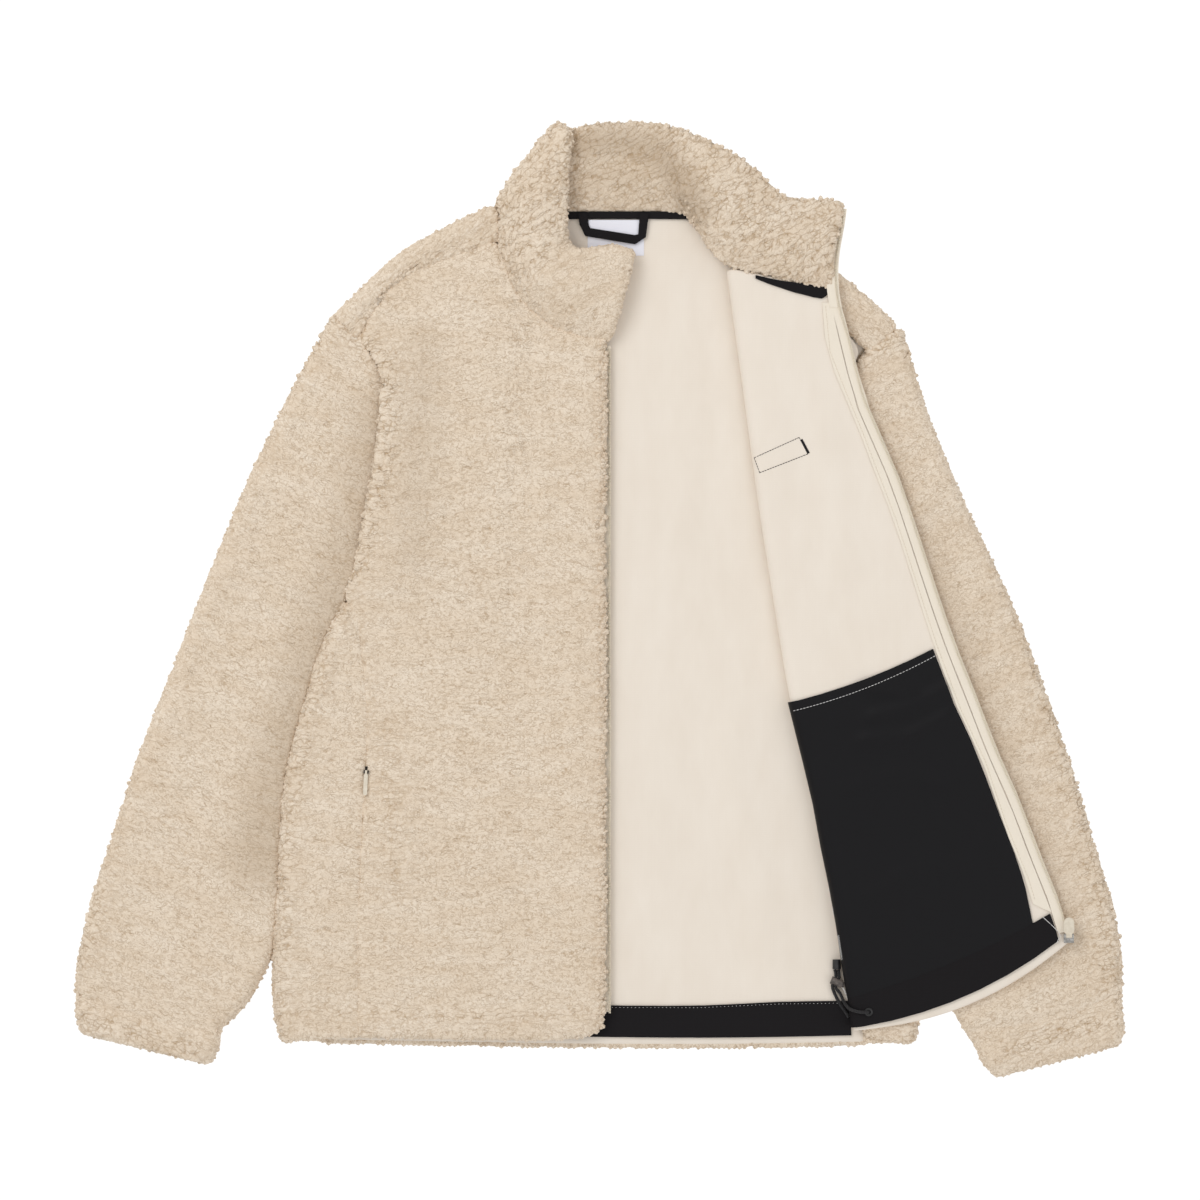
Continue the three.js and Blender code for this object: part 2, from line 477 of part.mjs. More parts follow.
// The same line moved sideways, towards the wearer's right where distance is positive.
function beside(rows, distance) {
  const points = vectors(rows);
  return points.map((p, k) => {
    const line = points[Math.min(k + 1, points.length - 1)].clone().sub(points[Math.max(k - 1, 0)]).setZ(0).normalize();
    return p.clone().addScaledVector(flat(line.y, -line.x), distance);
  });
}

const ZIP_FACING_INNER = table('x y', [188.7, 252.5], [193, 210], [202.3, 186], [221, 141], [234.3, 105.7], [249, 68],
  [284, -40], [303.9, -92.7], [325, -138], [343.4, -193], [361, -236], [367.6, -258]);
const POCKET_BAG = table('rollY upX upY bow',
  [-86.7, 282.6, -41.4, -3.4], [-142.8, 302.6, -93.4, 0], [-180, 317.6, -125, 0], [-222, 331, -160, 0],
  [-257, 345.6, -200, -1], [-293, 358, -232, -3], [-334.6, 367.6, -269.6, -5]);
const HEM_FACING = table('rollY upX upY bow',
  [-336.8, 382, -266, -6], [-345.6, 384.6, -273.6, -8], [-354.4, 387, -281, -10], [-363, 389.4, -289, -11.5]);

// A thin piece that lies on the inside of the turned front and wraps round its fold.
const WRAP_ANGLES = [-24, 0, 25, 50, 72, 90];
const FOLD_SPAN = 20;
const WRAP_GAP = 0.5;
function wrapped(rows, thickness, legSteps) {
  const onFold = (y) => flat(foldAt(y), y);
  const fold = (THIRD - UPPER + WALL) / 2;
  const middle = (THIRD + UPPER) / 2;
  const face = (lift) => rows.map((row) => {
    const [before, after] = [onFold(row.rollY + FOLD_SPAN), onFold(row.rollY - FOLD_SPAN)];
    const { outward, centre } = rollFrame(onFold(row.rollY), before, after, flat(row.upX, row.upY), fold);
    const turn = WRAP_ANGLES.map((degrees) => {
      const angle = THREE.MathUtils.degToRad(degrees);
      const p = centre.clone().addScaledVector(outward, (fold + lift) * Math.cos(angle));
      return p.setZ(middle + (fold + lift) * Math.sin(angle));
    });
    const leg = Array.from({ length: legSteps }, (_, n) => legPoint(centre, flat(row.upX, row.upY), (n + 1) / legSteps,
      row.bow).setZ(THIRD_FACE + lift));
    return [...turn, ...leg];
  });
  return shell(face(WRAP_GAP + thickness), face(WRAP_GAP));
}

// ---------------------------------------------------------------- solids cut and joined
const wasm = await Module();
wasm.setup();

function solid(shape) {
  const plain = shape.clone();
  plain.deleteAttribute('normal');
  plain.deleteAttribute('uv');
  const merged = mergeVertices(plain, 1e-4);
  return new wasm.Manifold(new wasm.Mesh({
    numProp: 3,
    vertProperties: new Float32Array(merged.getAttribute('position').array),
    triVerts: new Uint32Array(merged.getIndex().array),
  }));
}

function fromSolid(body) {
  const mesh = body.getMesh();
  return geometry(Array.from(mesh.vertProperties), Array.from(mesh.triVerts));
}

const box = (w, d, h, x = 0, y = 0, z = 0) => new THREE.BoxGeometry(w, d, h).translate(x, y, z);
const rod = (radius, length, sides, x = 0, y = 0, z = 0) => new THREE.CylinderGeometry(radius, radius, length, sides)
  .rotateZ(Math.PI / 2).translate(x, y, z);

// A zip slider at its own origin: a body round the coil, with two lugs that hold a cross pin.
// The pull tab turns on that pin and lies along +Y.
const PIN = { radius: 0.5, clearance: 0.3, above: 1.9, lug: 1, lugHeight: 3, eye: 1.4 };

function slider({ width, length, height, lugGap, pinAt }) {
  const side = lugGap / 2 + PIN.lug / 2;
  const body = solid(box(width, length, height, 0, -pinAt, height / 2));
  const lugs = [-side, side].map((x) => solid(box(PIN.lug, 2.6, PIN.lugHeight + 0.2, x, 0, height + PIN.lugHeight / 2 - 0.1)));
  const pin = solid(rod(PIN.radius, lugGap + PIN.lug, 10, 0, 0, height + PIN.above));
  const foot = solid(box(lugGap + 2 * PIN.lug, 2.6, 0.5, 0, 0, height - 0.05));
  return fromSolid(body.add(foot).add(lugs[0]).add(lugs[1]).add(pin));
}

function pullTab({ length, width, neck, thickness, shoulder }) {
  const outline = new THREE.Shape();
  outline.moveTo(-neck / 2, 0);
  outline.lineTo(neck / 2, 0);
  outline.lineTo(neck / 2, shoulder / 2);
  outline.quadraticCurveTo(width / 2, shoulder / 2 + 1, width / 2, shoulder + 1);
  outline.lineTo(width / 2, length - width / 2);
  outline.absarc(0, length - width / 2, width / 2, 0, Math.PI, false);
  outline.lineTo(-width / 2, shoulder + 1);
  outline.quadraticCurveTo(-width / 2, shoulder / 2 + 1, -neck / 2, shoulder / 2);
  outline.closePath();
  const plate = new THREE.ExtrudeGeometry(outline, { depth: thickness, bevelEnabled: false, curveSegments: 6 });
  plate.translate(0, 0, -thickness / 2);
  const eye = solid(rod(PIN.eye, neck, 14));
  return fromSolid(solid(plate).add(eye).subtract(solid(rod(PIN.radius + PIN.clearance, neck + 2, 10))));
}

// A round tube along points.
function tube(points, diameter) {
  const path = new THREE.CatmullRomCurve3(points, false, 'centripetal');
  const circle = new THREE.Shape().absarc(0, 0, diameter / 2, 0, 2 * Math.PI, false);
  const steps = Math.ceil(path.getLength() / (2 * diameter));
  return new THREE.ExtrudeGeometry(circle, { steps: Math.max(steps, 8), curveSegments: 4, extrudePath: path });
}

// ---------------------------------------------------------------- assembly
const jacket = new THREE.Group();
const paint = (colour, roughness = 0.9, metalness = 0) => new THREE.MeshStandardMaterial({ color: colour, roughness,
  metalness });
const MATERIALS = {
  pile: paint(COLOURS.pile, 1),
  black: paint(COLOURS.black, 0.8),
  tape: paint(COLOURS.tape, 0.8),
  label: paint(COLOURS.label, 0.7),
  metal: paint(COLOURS.metal, 0.35, 1),
  horn: paint(COLOURS.horn, 0.4),
};

function add(name, shape, material, parent = jacket) {
  const mesh = new THREE.Mesh(shape, MATERIALS[material]);
  mesh.name = name;
  parent.add(mesh);
  return mesh;
}

add('back', backPanel(), 'pile');
add('front_right', closedFront(), 'pile');
add('front_left', turnedFront(), 'pile');
add('side_right', sidePanel(SIDE_RIGHT, 1), 'pile');
add('side_left', sidePanel(SIDE_LEFT, 0), 'pile');
add('shoulder_right', shoulderPiece(SHOULDER_RIGHT), 'pile');
add('shoulder_left', shoulderPiece(SHOULDER_LEFT), 'pile');
add('sleeve_right', sleeve(SLEEVE_RIGHT, ARMHOLE_RIGHT, 17), 'pile');
add('sleeve_left', sleeve(SLEEVE_LEFT, ARMHOLE_LEFT, 17), 'pile');
const collar = collarLayers();
add('collar_outer', collar.outer, 'pile');
add('collar_inner', collar.inner, 'pile');


// Neck: tape over the seam, labels without text and the hanger loop.
const onBack = BACK_FACE + LINING;
const onFront = THIRD_FACE + LINING;
const line = (...points) => table('x y', ...points);
add('neck_tape', strip(line([-54, 330], [0, 330.6], [76, 330.4]), line([-54, 323.6], [0, 324.2], [80, 324]), onBack,
  FACING, 8, 1), 'black');
add('neck_tape_left', strip(line([132, 274.4], [165, 268.8], [195, 263.8]), line([132, 273.4], [165, 264.6], [192, 256.4]),
  onFront, FACING, 6, 1), 'black');
const LABEL = 0.5;
add('label_main', strip(line([-10.5, 323.4], [37.4, 323.4]), line([-10.5, 293], [37.4, 293]), onBack, LABEL, 4, 4),
  'label');
add('label_size', strip(line([-9.4, 323.2], [33.6, 323.2]), line([-9.4, 310], [33.6, 310]), onBack + LABEL + LINING, LABEL,
  4, 2), 'label');
add('care_label', strip(line([195, -245], [201.4, -245]), line([199, -269], [202.6, -269]), onBack, LABEL, 2, 4), 'label');

const LOOP = { bottom: onBack + FACING + LINING, thickness: 1.4 };
function hangerLoop() {
  const outline = new THREE.Shape(line([-18.4, 329], [-17.6, 319.8], [-12.6, 309.6], [29.8, 302.6], [39, 308.6], [41.7, 329],
    [33.9, 329], [32.4, 311], [29.6, 310.4], [-8.4, 316.4], [-10, 320], [-10.4, 329]).map(({ x, y }) => new THREE.Vector2(x, y)));
  return new THREE.ExtrudeGeometry(outline, { depth: LOOP.thickness, bevelEnabled: false }).translate(0, 0, LOOP.bottom);
}
add('hanger_loop', hangerLoop(), 'black');

// Hem facings and the inner pocket bag.
add('back_hem_facing', strip(line([-36, -344.6], [86, -345], [154, -341.8], [212, -341]),
  line([-36, -371.4], [86, -372.4], [160, -371.6], [214, -370.4]), onBack, FACING, 8, 2), 'black');
add('front_left_hem_facing', wrapped(HEM_FACING, FACING, 7), 'black');
add('pocket_bag', wrapped(stations(POCKET_BAG, [0, 0.15, 0.3, 0.45, 0.6, 0.75, 0.88, 1]), 1, 6), 'black');

// Main zip, apart: the left half along the turned front and the collar's end, the right half under the closed front.
add('zip_facing', strip(ZIP_FACING_INNER, beside(FRONT_ZIP_LINE, ZIP.tapeWidth + 1).slice(0, -2), onFront, TAPE, 18, 2),
  'tape');
add('zip_tape_left', strip(beside(FRONT_ZIP_LINE, ZIP.tapeWidth), beside(FRONT_ZIP_LINE, ZIP.edge), onFront, TAPE, 18, 1),
  'tape');
add('zip_coil_left', strip(beside(ZIP_LINE, ZIP.edge + ZIP.coilWidth), beside(ZIP_LINE, ZIP.edge), onFront + TAPE + LINING,
  ZIP.coilHeight, 24, 1), 'tape');
add('zip_tape_right', strip(line([-9, 216], [-9, -352]), line([3.6, 216], [3.6, -350]), onBack + FACING + LINING, TAPE, 8, 1),
  'tape');
const SLIDER = { width: 8.4, length: 7.6, height: 3.4, lugGap: 5.8, pinAt: 1.8 };
const SLIDER_PLACE = flat(397.8, -285.2, THIRD_FACE + 0.4);
const TAB = { length: 16, width: 8.8, neck: 5, thickness: 1.6, shoulder: 4 };
add('zip_slider', slider(SLIDER), 'metal').position.copy(SLIDER_PLACE);
add('zip_pull_tab', pullTab(TAB), 'tape').position.copy(SLIDER_PLACE).add(flat(0, 0, SLIDER.height + PIN.above));

// Pocket zip in the side-front seam.
const pocketRows = stations(SIDE_RIGHT.slice(3, 8), [0.27, 0.4, 0.55, 0.7, 0.8]);
add('pocket_zip_tape', strip(edge(pocketRows, 'upX', 'upY', -0.7), edge(pocketRows, 'upX', 'upY', 1.3), UPPER_FACE - 5.6, TAPE, 8, 1),
  'tape');
const POCKET_SLIDER = { width: 1.9, length: 6, height: 5, lugGap: 2.4, pinAt: 1.6 };
const POCKET_TAB = { length: 20, width: 3.4, neck: 1.8, thickness: 1.2, shoulder: 3 };
const pocketPull = new THREE.Group();
pocketPull.position.set(-198.7, -146, UPPER_FACE + 0.9 - POCKET_SLIDER.height);
pocketPull.rotation.z = Math.PI - 0.05;
jacket.add(pocketPull);
add('pocket_slider', slider(POCKET_SLIDER), 'metal', pocketPull);
add('pocket_pull', pullTab(POCKET_TAB), 'tape', pocketPull).position.set(0, 0, POCKET_SLIDER.height + PIN.above);

// Hem cord: it comes out of an eyelet and of the hem, runs through a cord lock and ends in a cord end.
const EYELET = { x: 228, y: -349.7, inner: 1.9, outer: 3.5, thickness: 0.9 };
const eyeletBottom = THIRD_FACE + WRAP_GAP + FACING + LINING;
const ring = [[EYELET.inner, 0], [EYELET.outer, 0], [EYELET.outer, EYELET.thickness], [EYELET.inner, EYELET.thickness],
  [EYELET.inner, 0]].map(([r, z]) => new THREE.Vector2(r, z));
const eyelet = new THREE.LatheGeometry(ring, 16).rotateX(Math.PI / 2).translate(EYELET.x, EYELET.y, eyeletBottom);
add('eyelet', eyelet, 'black');

const LOCK = { radius: 3.4, from: -6.4, to: 3.7, button: 2.3, buttonLength: 2.5, bore: 2.6, boreDepth: 2.6, slotFrom: -5.4,
  slotTo: 0.7, slotHeight: 3.3 };
const STRANDS = { hem: -3.8, eyelet: -0.9 };
const lock = new THREE.Group();
lock.position.set(202.6, -325.4, BACK_FACE + 0.4 + LOCK.radius);
lock.rotation.z = THREE.MathUtils.degToRad(-22);
jacket.add(lock);

function lockBody() {
  const barrel = solid(rod(LOCK.radius, LOCK.to - LOCK.from, 16, (LOCK.to + LOCK.from) / 2));
  const bore = solid(rod(LOCK.bore, LOCK.boreDepth + 1, 16, LOCK.to + 0.5 - LOCK.boreDepth / 2));
  const slot = solid(box(LOCK.slotTo - LOCK.slotFrom, 12, LOCK.slotHeight, (LOCK.slotTo + LOCK.slotFrom) / 2));
  return fromSolid(barrel.subtract(bore).subtract(slot));
}
add('cord_lock', lockBody(), 'horn', lock);
add('cord_lock_button', rod(LOCK.button, LOCK.buttonLength, 16, LOCK.to - 0.4 + LOCK.buttonLength / 2), 'horn', lock);

const CORD_END = { x: 201.2, y: -309.8, radius: 3.5, length: 8.2 };
lock.updateMatrix();
const inLock = (strand, y) => flat(strand, y).applyMatrix4(lock.matrix);
const cordZ = lock.position.z;
const endFace = CORD_END.y - CORD_END.length / 2 - 0.3;
const eyeletCord = [flat(228.4, -349.7, 26.7), flat(225, -349.7, 26.9), flat(219, -349.2, 26.6), flat(212.6, -347.4, 23.3),
  flat(209.2, -344.4, 17.4), flat(206.8, -340.4, 12.4), flat(204.2, -334.4, cordZ), inLock(STRANDS.eyelet, -4),
  inLock(STRANDS.eyelet, 4), flat(CORD_END.x + 1.5, endFace, cordZ)];
const hemCord = [flat(211.4, -354.6, 11.8), flat(208.4, -349.8, 10.8), flat(203.8, -343, cordZ - 0.4),
  flat(199.6, -334.8, cordZ - 0.2), inLock(STRANDS.hem, -4), inLock(STRANDS.hem, 4), flat(CORD_END.x - 1.5, endFace, cordZ)];
add('cord_eyelet', tube(eyeletCord, CORD), 'black');
add('cord_hem', tube(hemCord, CORD), 'black');
add('cord_end', new THREE.CylinderGeometry(CORD_END.radius, CORD_END.radius, CORD_END.length, 16)
  .translate(CORD_END.x, CORD_END.y, cordZ), 'black');

// The origin is under the middle of the whole garment, on the surface that it lies on.
const bounds = new THREE.Box3().setFromObject(jacket);
const middle = bounds.getCenter(flat(0, 0));
jacket.position.set(-middle.x, -middle.y, -bounds.min.z);

export default jacket;
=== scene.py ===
"""A teddy jacket laid flat, one front closed and the other turned back.

It has pile, backing, facings, zips and a hem cord.
"""

import itertools
import math
import random

import bmesh
import bpy
from mathutils import Matrix, Vector, noise
from mathutils.bvhtree import BVHTree


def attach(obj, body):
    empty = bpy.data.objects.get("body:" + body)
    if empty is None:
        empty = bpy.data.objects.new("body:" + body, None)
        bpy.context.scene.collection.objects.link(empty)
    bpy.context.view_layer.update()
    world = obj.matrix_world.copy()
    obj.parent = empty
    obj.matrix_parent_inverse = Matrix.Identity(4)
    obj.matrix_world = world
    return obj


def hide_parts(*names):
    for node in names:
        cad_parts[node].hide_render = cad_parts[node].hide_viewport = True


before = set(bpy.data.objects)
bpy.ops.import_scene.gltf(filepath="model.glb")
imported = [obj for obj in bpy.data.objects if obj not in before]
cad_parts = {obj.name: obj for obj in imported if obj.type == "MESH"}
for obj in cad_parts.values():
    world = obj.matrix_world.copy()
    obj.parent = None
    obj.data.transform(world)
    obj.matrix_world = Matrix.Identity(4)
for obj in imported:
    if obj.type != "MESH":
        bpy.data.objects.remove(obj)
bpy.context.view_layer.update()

MM = 0.001
# The cutting pattern's origin in the row frame, in millimetres. The tables below are in the
# pattern's millimetres.
SHIFT = Vector((-0.4859, -0.3429, 0.0))


def at(x, y, z=0.0):
    return (Vector((x, y, z)) + SHIFT) * MM


def clamped(value):
    return max(0.0, min(1.0, value))


def bell(value, middle, reach):
    return math.exp(-((value - middle) / reach) ** 2)


def deselect():
    bpy.ops.object.select_all(action="DESELECT")


def activate(piece):
    deselect()
    piece.select_set(True)
    bpy.context.view_layer.objects.active = piece


def new_piece(name, data):
    piece = bpy.data.objects.new(name, data)
    bpy.context.scene.collection.objects.link(piece)
    return piece


def ridden(piece, slot_name):
    """Fastens an added piece to the jacket's body."""
    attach(piece, "jacket")
    return piece


# ---------------------------------------------------------------- camera
CAMERA_HEIGHT = 6.0
SEEN_WIDTH = 1.02
LAYER_HEIGHT = 0.014
SENSOR = 36

lens = bpy.data.cameras.new("camera")
lens.sensor_width = SENSOR
lens.lens = SENSOR * (CAMERA_HEIGHT - LAYER_HEIGHT) / SEEN_WIDTH
lens.clip_end = 50
camera = new_piece("camera", lens)
camera.location = at(0, 0, CAMERA_HEIGHT / MM)
bpy.context.scene.camera = camera


# ---------------------------------------------------------------- hem cord
CORD = 2.7
CORD_STEPS = 3
EYELET_CORD = [
    (228.4, -349.7, 26.7), (225, -349.7, 26.9), (219, -349.2, 26.6), (212.6, -347.4, 23.3),
    (209.2, -344.4, 17.4), (206.8, -340.4, 12.4), (204.2, -334.4, 10.8), (200.27, -328.77, 10.8),
    (203.26, -321.35, 10.8), (202.7, -314.2, 10.8)]
HEM_CORD = [
    (211.4, -354.6, 11.8), (208.4, -349.8, 10.8), (203.8, -343, 10.4), (199.6, -334.8, 10.6),
    (197.58, -327.69, 10.8), (200.57, -320.27, 10.8), (199.7, -314.2, 10.8)]


def spline_points(points, steps):
    """Points along a smooth line through the given ones."""
    line = []
    ends = [points[0] * 2 - points[1], *points, points[-1] * 2 - points[-2]]
    for a, b, c, d in zip(ends, ends[1:], ends[2:], ends[3:]):
        for k in range(steps):
            t = k / steps
            line.append((b * 2 + (c - a) * t + (a * 2 - b * 5 + c * 4 - d) * t * t
                         + (b * 3 - a - c * 3 + d) * t ** 3) / 2)
    line.append(points[-1])
    return line


def cord(name, route, diameter):
    line = spline_points([at(*p) for p in route], CORD_STEPS)
    curve = bpy.data.curves.new(name, "CURVE")
    curve.dimensions = "3D"
    curve.bevel_depth = diameter / 2 * MM
    curve.bevel_resolution = 4
    curve.use_fill_caps = True
    spline = curve.splines.new("POLY")
    spline.points.add(len(line) - 1)
    for point, place in zip(spline.points, line):
        point.co = (*place, 1)
    spline.use_smooth = True
    piece = new_piece(name, curve)
    activate(piece)
    bpy.ops.object.convert(target="MESH")
    return piece, line


cords = {}
for node_name, route in (("cord_eyelet", EYELET_CORD), ("cord_hem", HEM_CORD)):
    piece, line = cord(f"braided_{node_name}", route, CORD)
    cords[node_name] = piece
    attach(piece, "jacket")
    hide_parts(node_name)


# ---------------------------------------------------------------- materials
def feed(tree, made, inputs):
    """Links outputs to a node's inputs, and sets the inputs that are given plain values."""
    for name, value in inputs.items():
        socket = made.inputs[name]
        if isinstance(value, bpy.types.NodeSocket):
            tree.links.new(value, socket)
        else:
            socket.default_value = value


def node(tree, kind, inputs, **settings):
    made = tree.nodes.new(kind)
    for name, value in settings.items():
        setattr(made, name, value)
    feed(tree, made, inputs)
    return made


def maths(tree, operation, *values, clamp=False):
    made = node(tree, "ShaderNodeMath", dict(enumerate(values)), operation=operation, use_clamp=clamp)
    return made.outputs[0]


def vectors(tree, operation, *values):
    return node(tree, "ShaderNodeVectorMath", dict(enumerate(values)), operation=operation).outputs[0]


def scaled(tree, vector, scale):
    return node(tree, "ShaderNodeVectorMath", {0: vector, "Scale": scale}, operation="SCALE").outputs[0]


def ramp(tree, value, low, high, to_low=0.0, to_high=1.0):
    ends = {"Value": value, "From Min": low, "From Max": high, "To Min": to_low, "To Max": to_high}
    return node(tree, "ShaderNodeMapRange", ends, interpolation_type="SMOOTHSTEP").outputs["Result"]


def grain(tree, place, scale, detail=2.0, roughness=0.5, output="Fac"):
    return node(tree, "ShaderNodeTexNoise", {"Vector": place, "Scale": scale, "Detail": detail,
                                             "Roughness": roughness}).outputs[output]


def drift(tree, place, scale, amount):
    """The place moved by a soft noise."""
    swirl = vectors(tree, "SUBTRACT", grain(tree, place, scale, 1.0, output="Color"), (0.5, 0.5, 0.5))
    return vectors(tree, "ADD", place, vectors(tree, "MULTIPLY", swirl, (amount, amount, amount)))


# The pile: short curls like worms, and longer partings between them that run mostly across the
# cloth. Scales are waves in a millimetre, and widths and drifts are in millimetres.
WIDE_DRIFT, FINE_DRIFT = (0.22, 2.6), (0.8, 0.8)
WORM_SCALE, WORM_WIDTH = 0.52, 0.42
CELL_SCALE, CELL_WIDTH = 0.25, 0.7
PARTING_SCALE, PARTING_WIDTH = 0.2, 0.42
CREASE_DROP = 0.55  # how far creases and partings lower the pile
SLOPE_STEP = 0.25


def stretched(tree, place, across):
    """The place squeezed along X, so that a pattern on it is drawn out that way."""
    return vectors(tree, "MULTIPLY", place, (across, 1.0, 1.0))


def line_of(tree, place, scale, detail, width):
    """1 on the lines where a noise crosses its middle, falling to 0 at a width beside them."""
    here = grain(tree, place, scale, detail)
    slopes = []
    for shift in ((SLOPE_STEP, 0, 0), (0, SLOPE_STEP, 0), (0, 0, SLOPE_STEP)):
        beside = grain(tree, vectors(tree, "ADD", place, shift), scale, detail)
        slopes.append(maths(tree, "SUBTRACT", beside, here))
    slope = node(tree, "ShaderNodeCombineXYZ", dict(enumerate(slopes))).outputs[0]
    steep = node(tree, "ShaderNodeVectorMath", {0: slope}, operation="LENGTH").outputs["Value"]
    off = maths(tree, "ABSOLUTE", maths(tree, "SUBTRACT", here, 0.5))
    return ramp(tree, maths(tree, "DIVIDE", off, steep), 0.0, width / SLOPE_STEP, 1.0, 0.0)


def cracks(tree, place, scale, width):
    """1 on the edges between cells, falling to 0 at a width beside them."""
    edge = node(tree, "ShaderNodeTexVoronoi", {"Vector": place, "Scale": scale, "Randomness": 0.95},
                feature="DISTANCE_TO_EDGE").outputs["Distance"]
    return ramp(tree, edge, 0.0, width * scale, 1.0, 0.0)


def curls(tree, cloth, coarseness):
    """Height of the pile, its creases and its partings, 0 to 1, at a place on the cloth."""
    place = drift(tree, drift(tree, cloth, *WIDE_DRIFT), *FINE_DRIFT)
    across = stretched(tree, place, 0.6)
    worms = line_of(tree, across, WORM_SCALE, 1.4, WORM_WIDTH)
    here = ramp(tree, grain(tree, across, 0.35, 2.0), 0.34, 0.6, 0.3, 0.9)
    small = maths(tree, "MULTIPLY", worms, here)
    fewer = maths(tree, "MULTIPLY_ADD", coarseness, -0.4, 1.0)
    small = maths(tree, "MULTIPLY", small, fewer)
    open_ = cracks(tree, stretched(tree, place, 0.9), CELL_SCALE, CELL_WIDTH)
    here = ramp(tree, grain(tree, cloth, 0.16, 2.0), 0.4, 0.62, 0.1, 1.0)
    open_ = maths(tree, "MULTIPLY", open_, here)
    creases = maths(tree, "MAXIMUM", small, maths(tree, "MULTIPLY", open_, coarseness))
    long = line_of(tree, stretched(tree, place, 0.26), PARTING_SCALE, 1.5, PARTING_WIDTH)
    present = ramp(tree, grain(tree, stretched(tree, cloth, 0.6), 0.12, 2.0), 0.48, 0.64)
    strong = maths(tree, "MAXIMUM", maths(tree, "MULTIPLY", present, 0.7),
                   maths(tree, "MULTIPLY", coarseness, 0.8))
    parting = maths(tree, "MULTIPLY", long, strong)
    low = maths(tree, "MULTIPLY_ADD", creases, CREASE_DROP,
                maths(tree, "MULTIPLY", parting, CREASE_DROP))
    return maths(tree, "SUBTRACT", 1.0, low, clamp=True), creases, parting


def group_with(name, kind, inputs, outputs):
    """A node group, its given values and its results. Both are listed with their kinds."""
    group = bpy.data.node_groups.new(name, kind)
    for direction, sockets in (("INPUT", inputs), ("OUTPUT", outputs)):
        for label, socket in sockets.items():
            group.interface.new_socket(name=label, in_out=direction, socket_type="NodeSocket" + socket)
    given, out = group.nodes.new("NodeGroupInput"), group.nodes.new("NodeGroupOutput")
    return group, given.outputs, out


def curls_shader_group():
    group, given, out = group_with(
        "pile curls", "ShaderNodeTree", {"Cloth": "Vector", "Coarseness": "Float"},
        {"Height": "Float", "Creases": "Float", "Parting": "Float", "Fibre": "Float"})
    height, creases, parting = curls(group, given["Cloth"], given["Coarseness"])
    fibre = grain(group, given["Cloth"], 0.75, 3.0, 0.65)
    feed(group, out, {"Height": height, "Creases": creases, "Parting": parting, "Fibre": fibre})
    return group


PILE_CURLS = curls_shader_group()


def srgb(red, green, blue):
    def linear(value):
        value /= 255
        return value / 12.92 if value <= 0.04045 else ((value + 0.055) / 1.055) ** 2.4
    return (linear(red), linear(green), linear(blue), 1.0)


def material(name):
    made = bpy.data.materials.new(name)
    made.use_nodes = True
    tree = made.node_tree
    return made, tree, tree.nodes["Principled BSDF"]


def blended(tree, factor, one, two):
    """A colour between two others."""
    return node(tree, "ShaderNodeMix", {"Factor": factor, 6: one, 7: two}, data_type="RGBA").outputs[2]


def bump_from(tree, height, strength, distance):
    return node(tree, "ShaderNodeBump",
                {"Height": height, "Strength": strength, "Distance": distance}).outputs["Normal"]


def pile_material():
    made, tree, shader = material("cream pile")

    def stored(name, output):
        return node(tree, "ShaderNodeAttribute", {}, attribute_name=name).outputs[output]

    cloth = stored("cloth", "Vector")
    pile = node(tree, "ShaderNodeGroup", {}, node_tree=PILE_CURLS)
    feed(tree, pile, {"Cloth": cloth, "Coarseness": stored("coarseness", "Fac")})
    height, creases, parting, fibre = pile.outputs
    cloudy = ramp(tree, grain(tree, stretched(tree, cloth, 0.35), 0.06, 3.0), 0.3, 0.7)
    colour = blended(tree, cloudy, srgb(231, 214, 193), srgb(238, 224, 206))
    colour = blended(tree, ramp(tree, fibre, 0.35, 0.7, 0.0, 0.35), colour, srgb(216, 195, 168))
    # Painted shade: the creases and partings between the curls are coloured darker, where shade falls into
    # them.
    colour = blended(tree, maths(tree, "MULTIPLY", creases, 0.7), colour, srgb(182, 154, 120))
    colour = blended(tree, maths(tree, "MULTIPLY", parting, 0.6), colour, srgb(170, 138, 100))
    # Painted shade: the pile's colour is darkened by the stored shade value, beside the body and inside the
    # collar.
    colour = blended(tree, maths(tree, "MULTIPLY", stored("painted_shade", "Fac"), 0.5), colour, srgb(168, 145, 118))
    relief = maths(tree, "MULTIPLY_ADD", fibre, 0.4, height)
    feed(tree, shader, {
        "Base Color": colour, "Normal": bump_from(tree, relief, 0.6, 0.0009), "Roughness": 0.95,
        "Specular IOR Level": 0.15, "Sheen Weight": 0.25, "Sheen Roughness": 0.6,
        "Sheen Tint": srgb(255, 244, 226)})
    return made


def millimetres(tree):
    place = node(tree, "ShaderNodeTexCoord", {}).outputs["Object"]
    return vectors(tree, "MULTIPLY", place, (1000, 1000, 1000))


def knit_group():
    """A fine warp knit: ribs a fraction of a millimetre apart, in one direction."""
    group, given, out = group_with("fine knit", "ShaderNodeTree", {"Place": "Vector", "Ribs": "Float"},
                                   {"Height": "Float", "Cloud": "Float"})
    place, ribs = given["Place"], given["Ribs"]
    swayed = drift(group, place, 0.05, 1.2)
    part = node(group, "ShaderNodeSeparateXYZ", {0: swayed})
    rib = maths(group, "SINE", maths(group, "MULTIPLY", part.outputs[0], ribs))
    loops = maths(group, "MULTIPLY", ribs, 0.8)
    loop = maths(group, "SINE", maths(group, "MULTIPLY", part.outputs[1], loops))
    height = maths(group, "MULTIPLY_ADD", rib, 0.3, maths(group, "MULTIPLY_ADD", loop, 0.2, 0.5))
    cloud = grain(group, vectors(group, "MULTIPLY", place, (1.0, 0.35, 1.0)), 0.06, 3.0)
    feed(group, out, {"Height": height, "Cloud": cloud})
    return group


FINE_KNIT = knit_group()


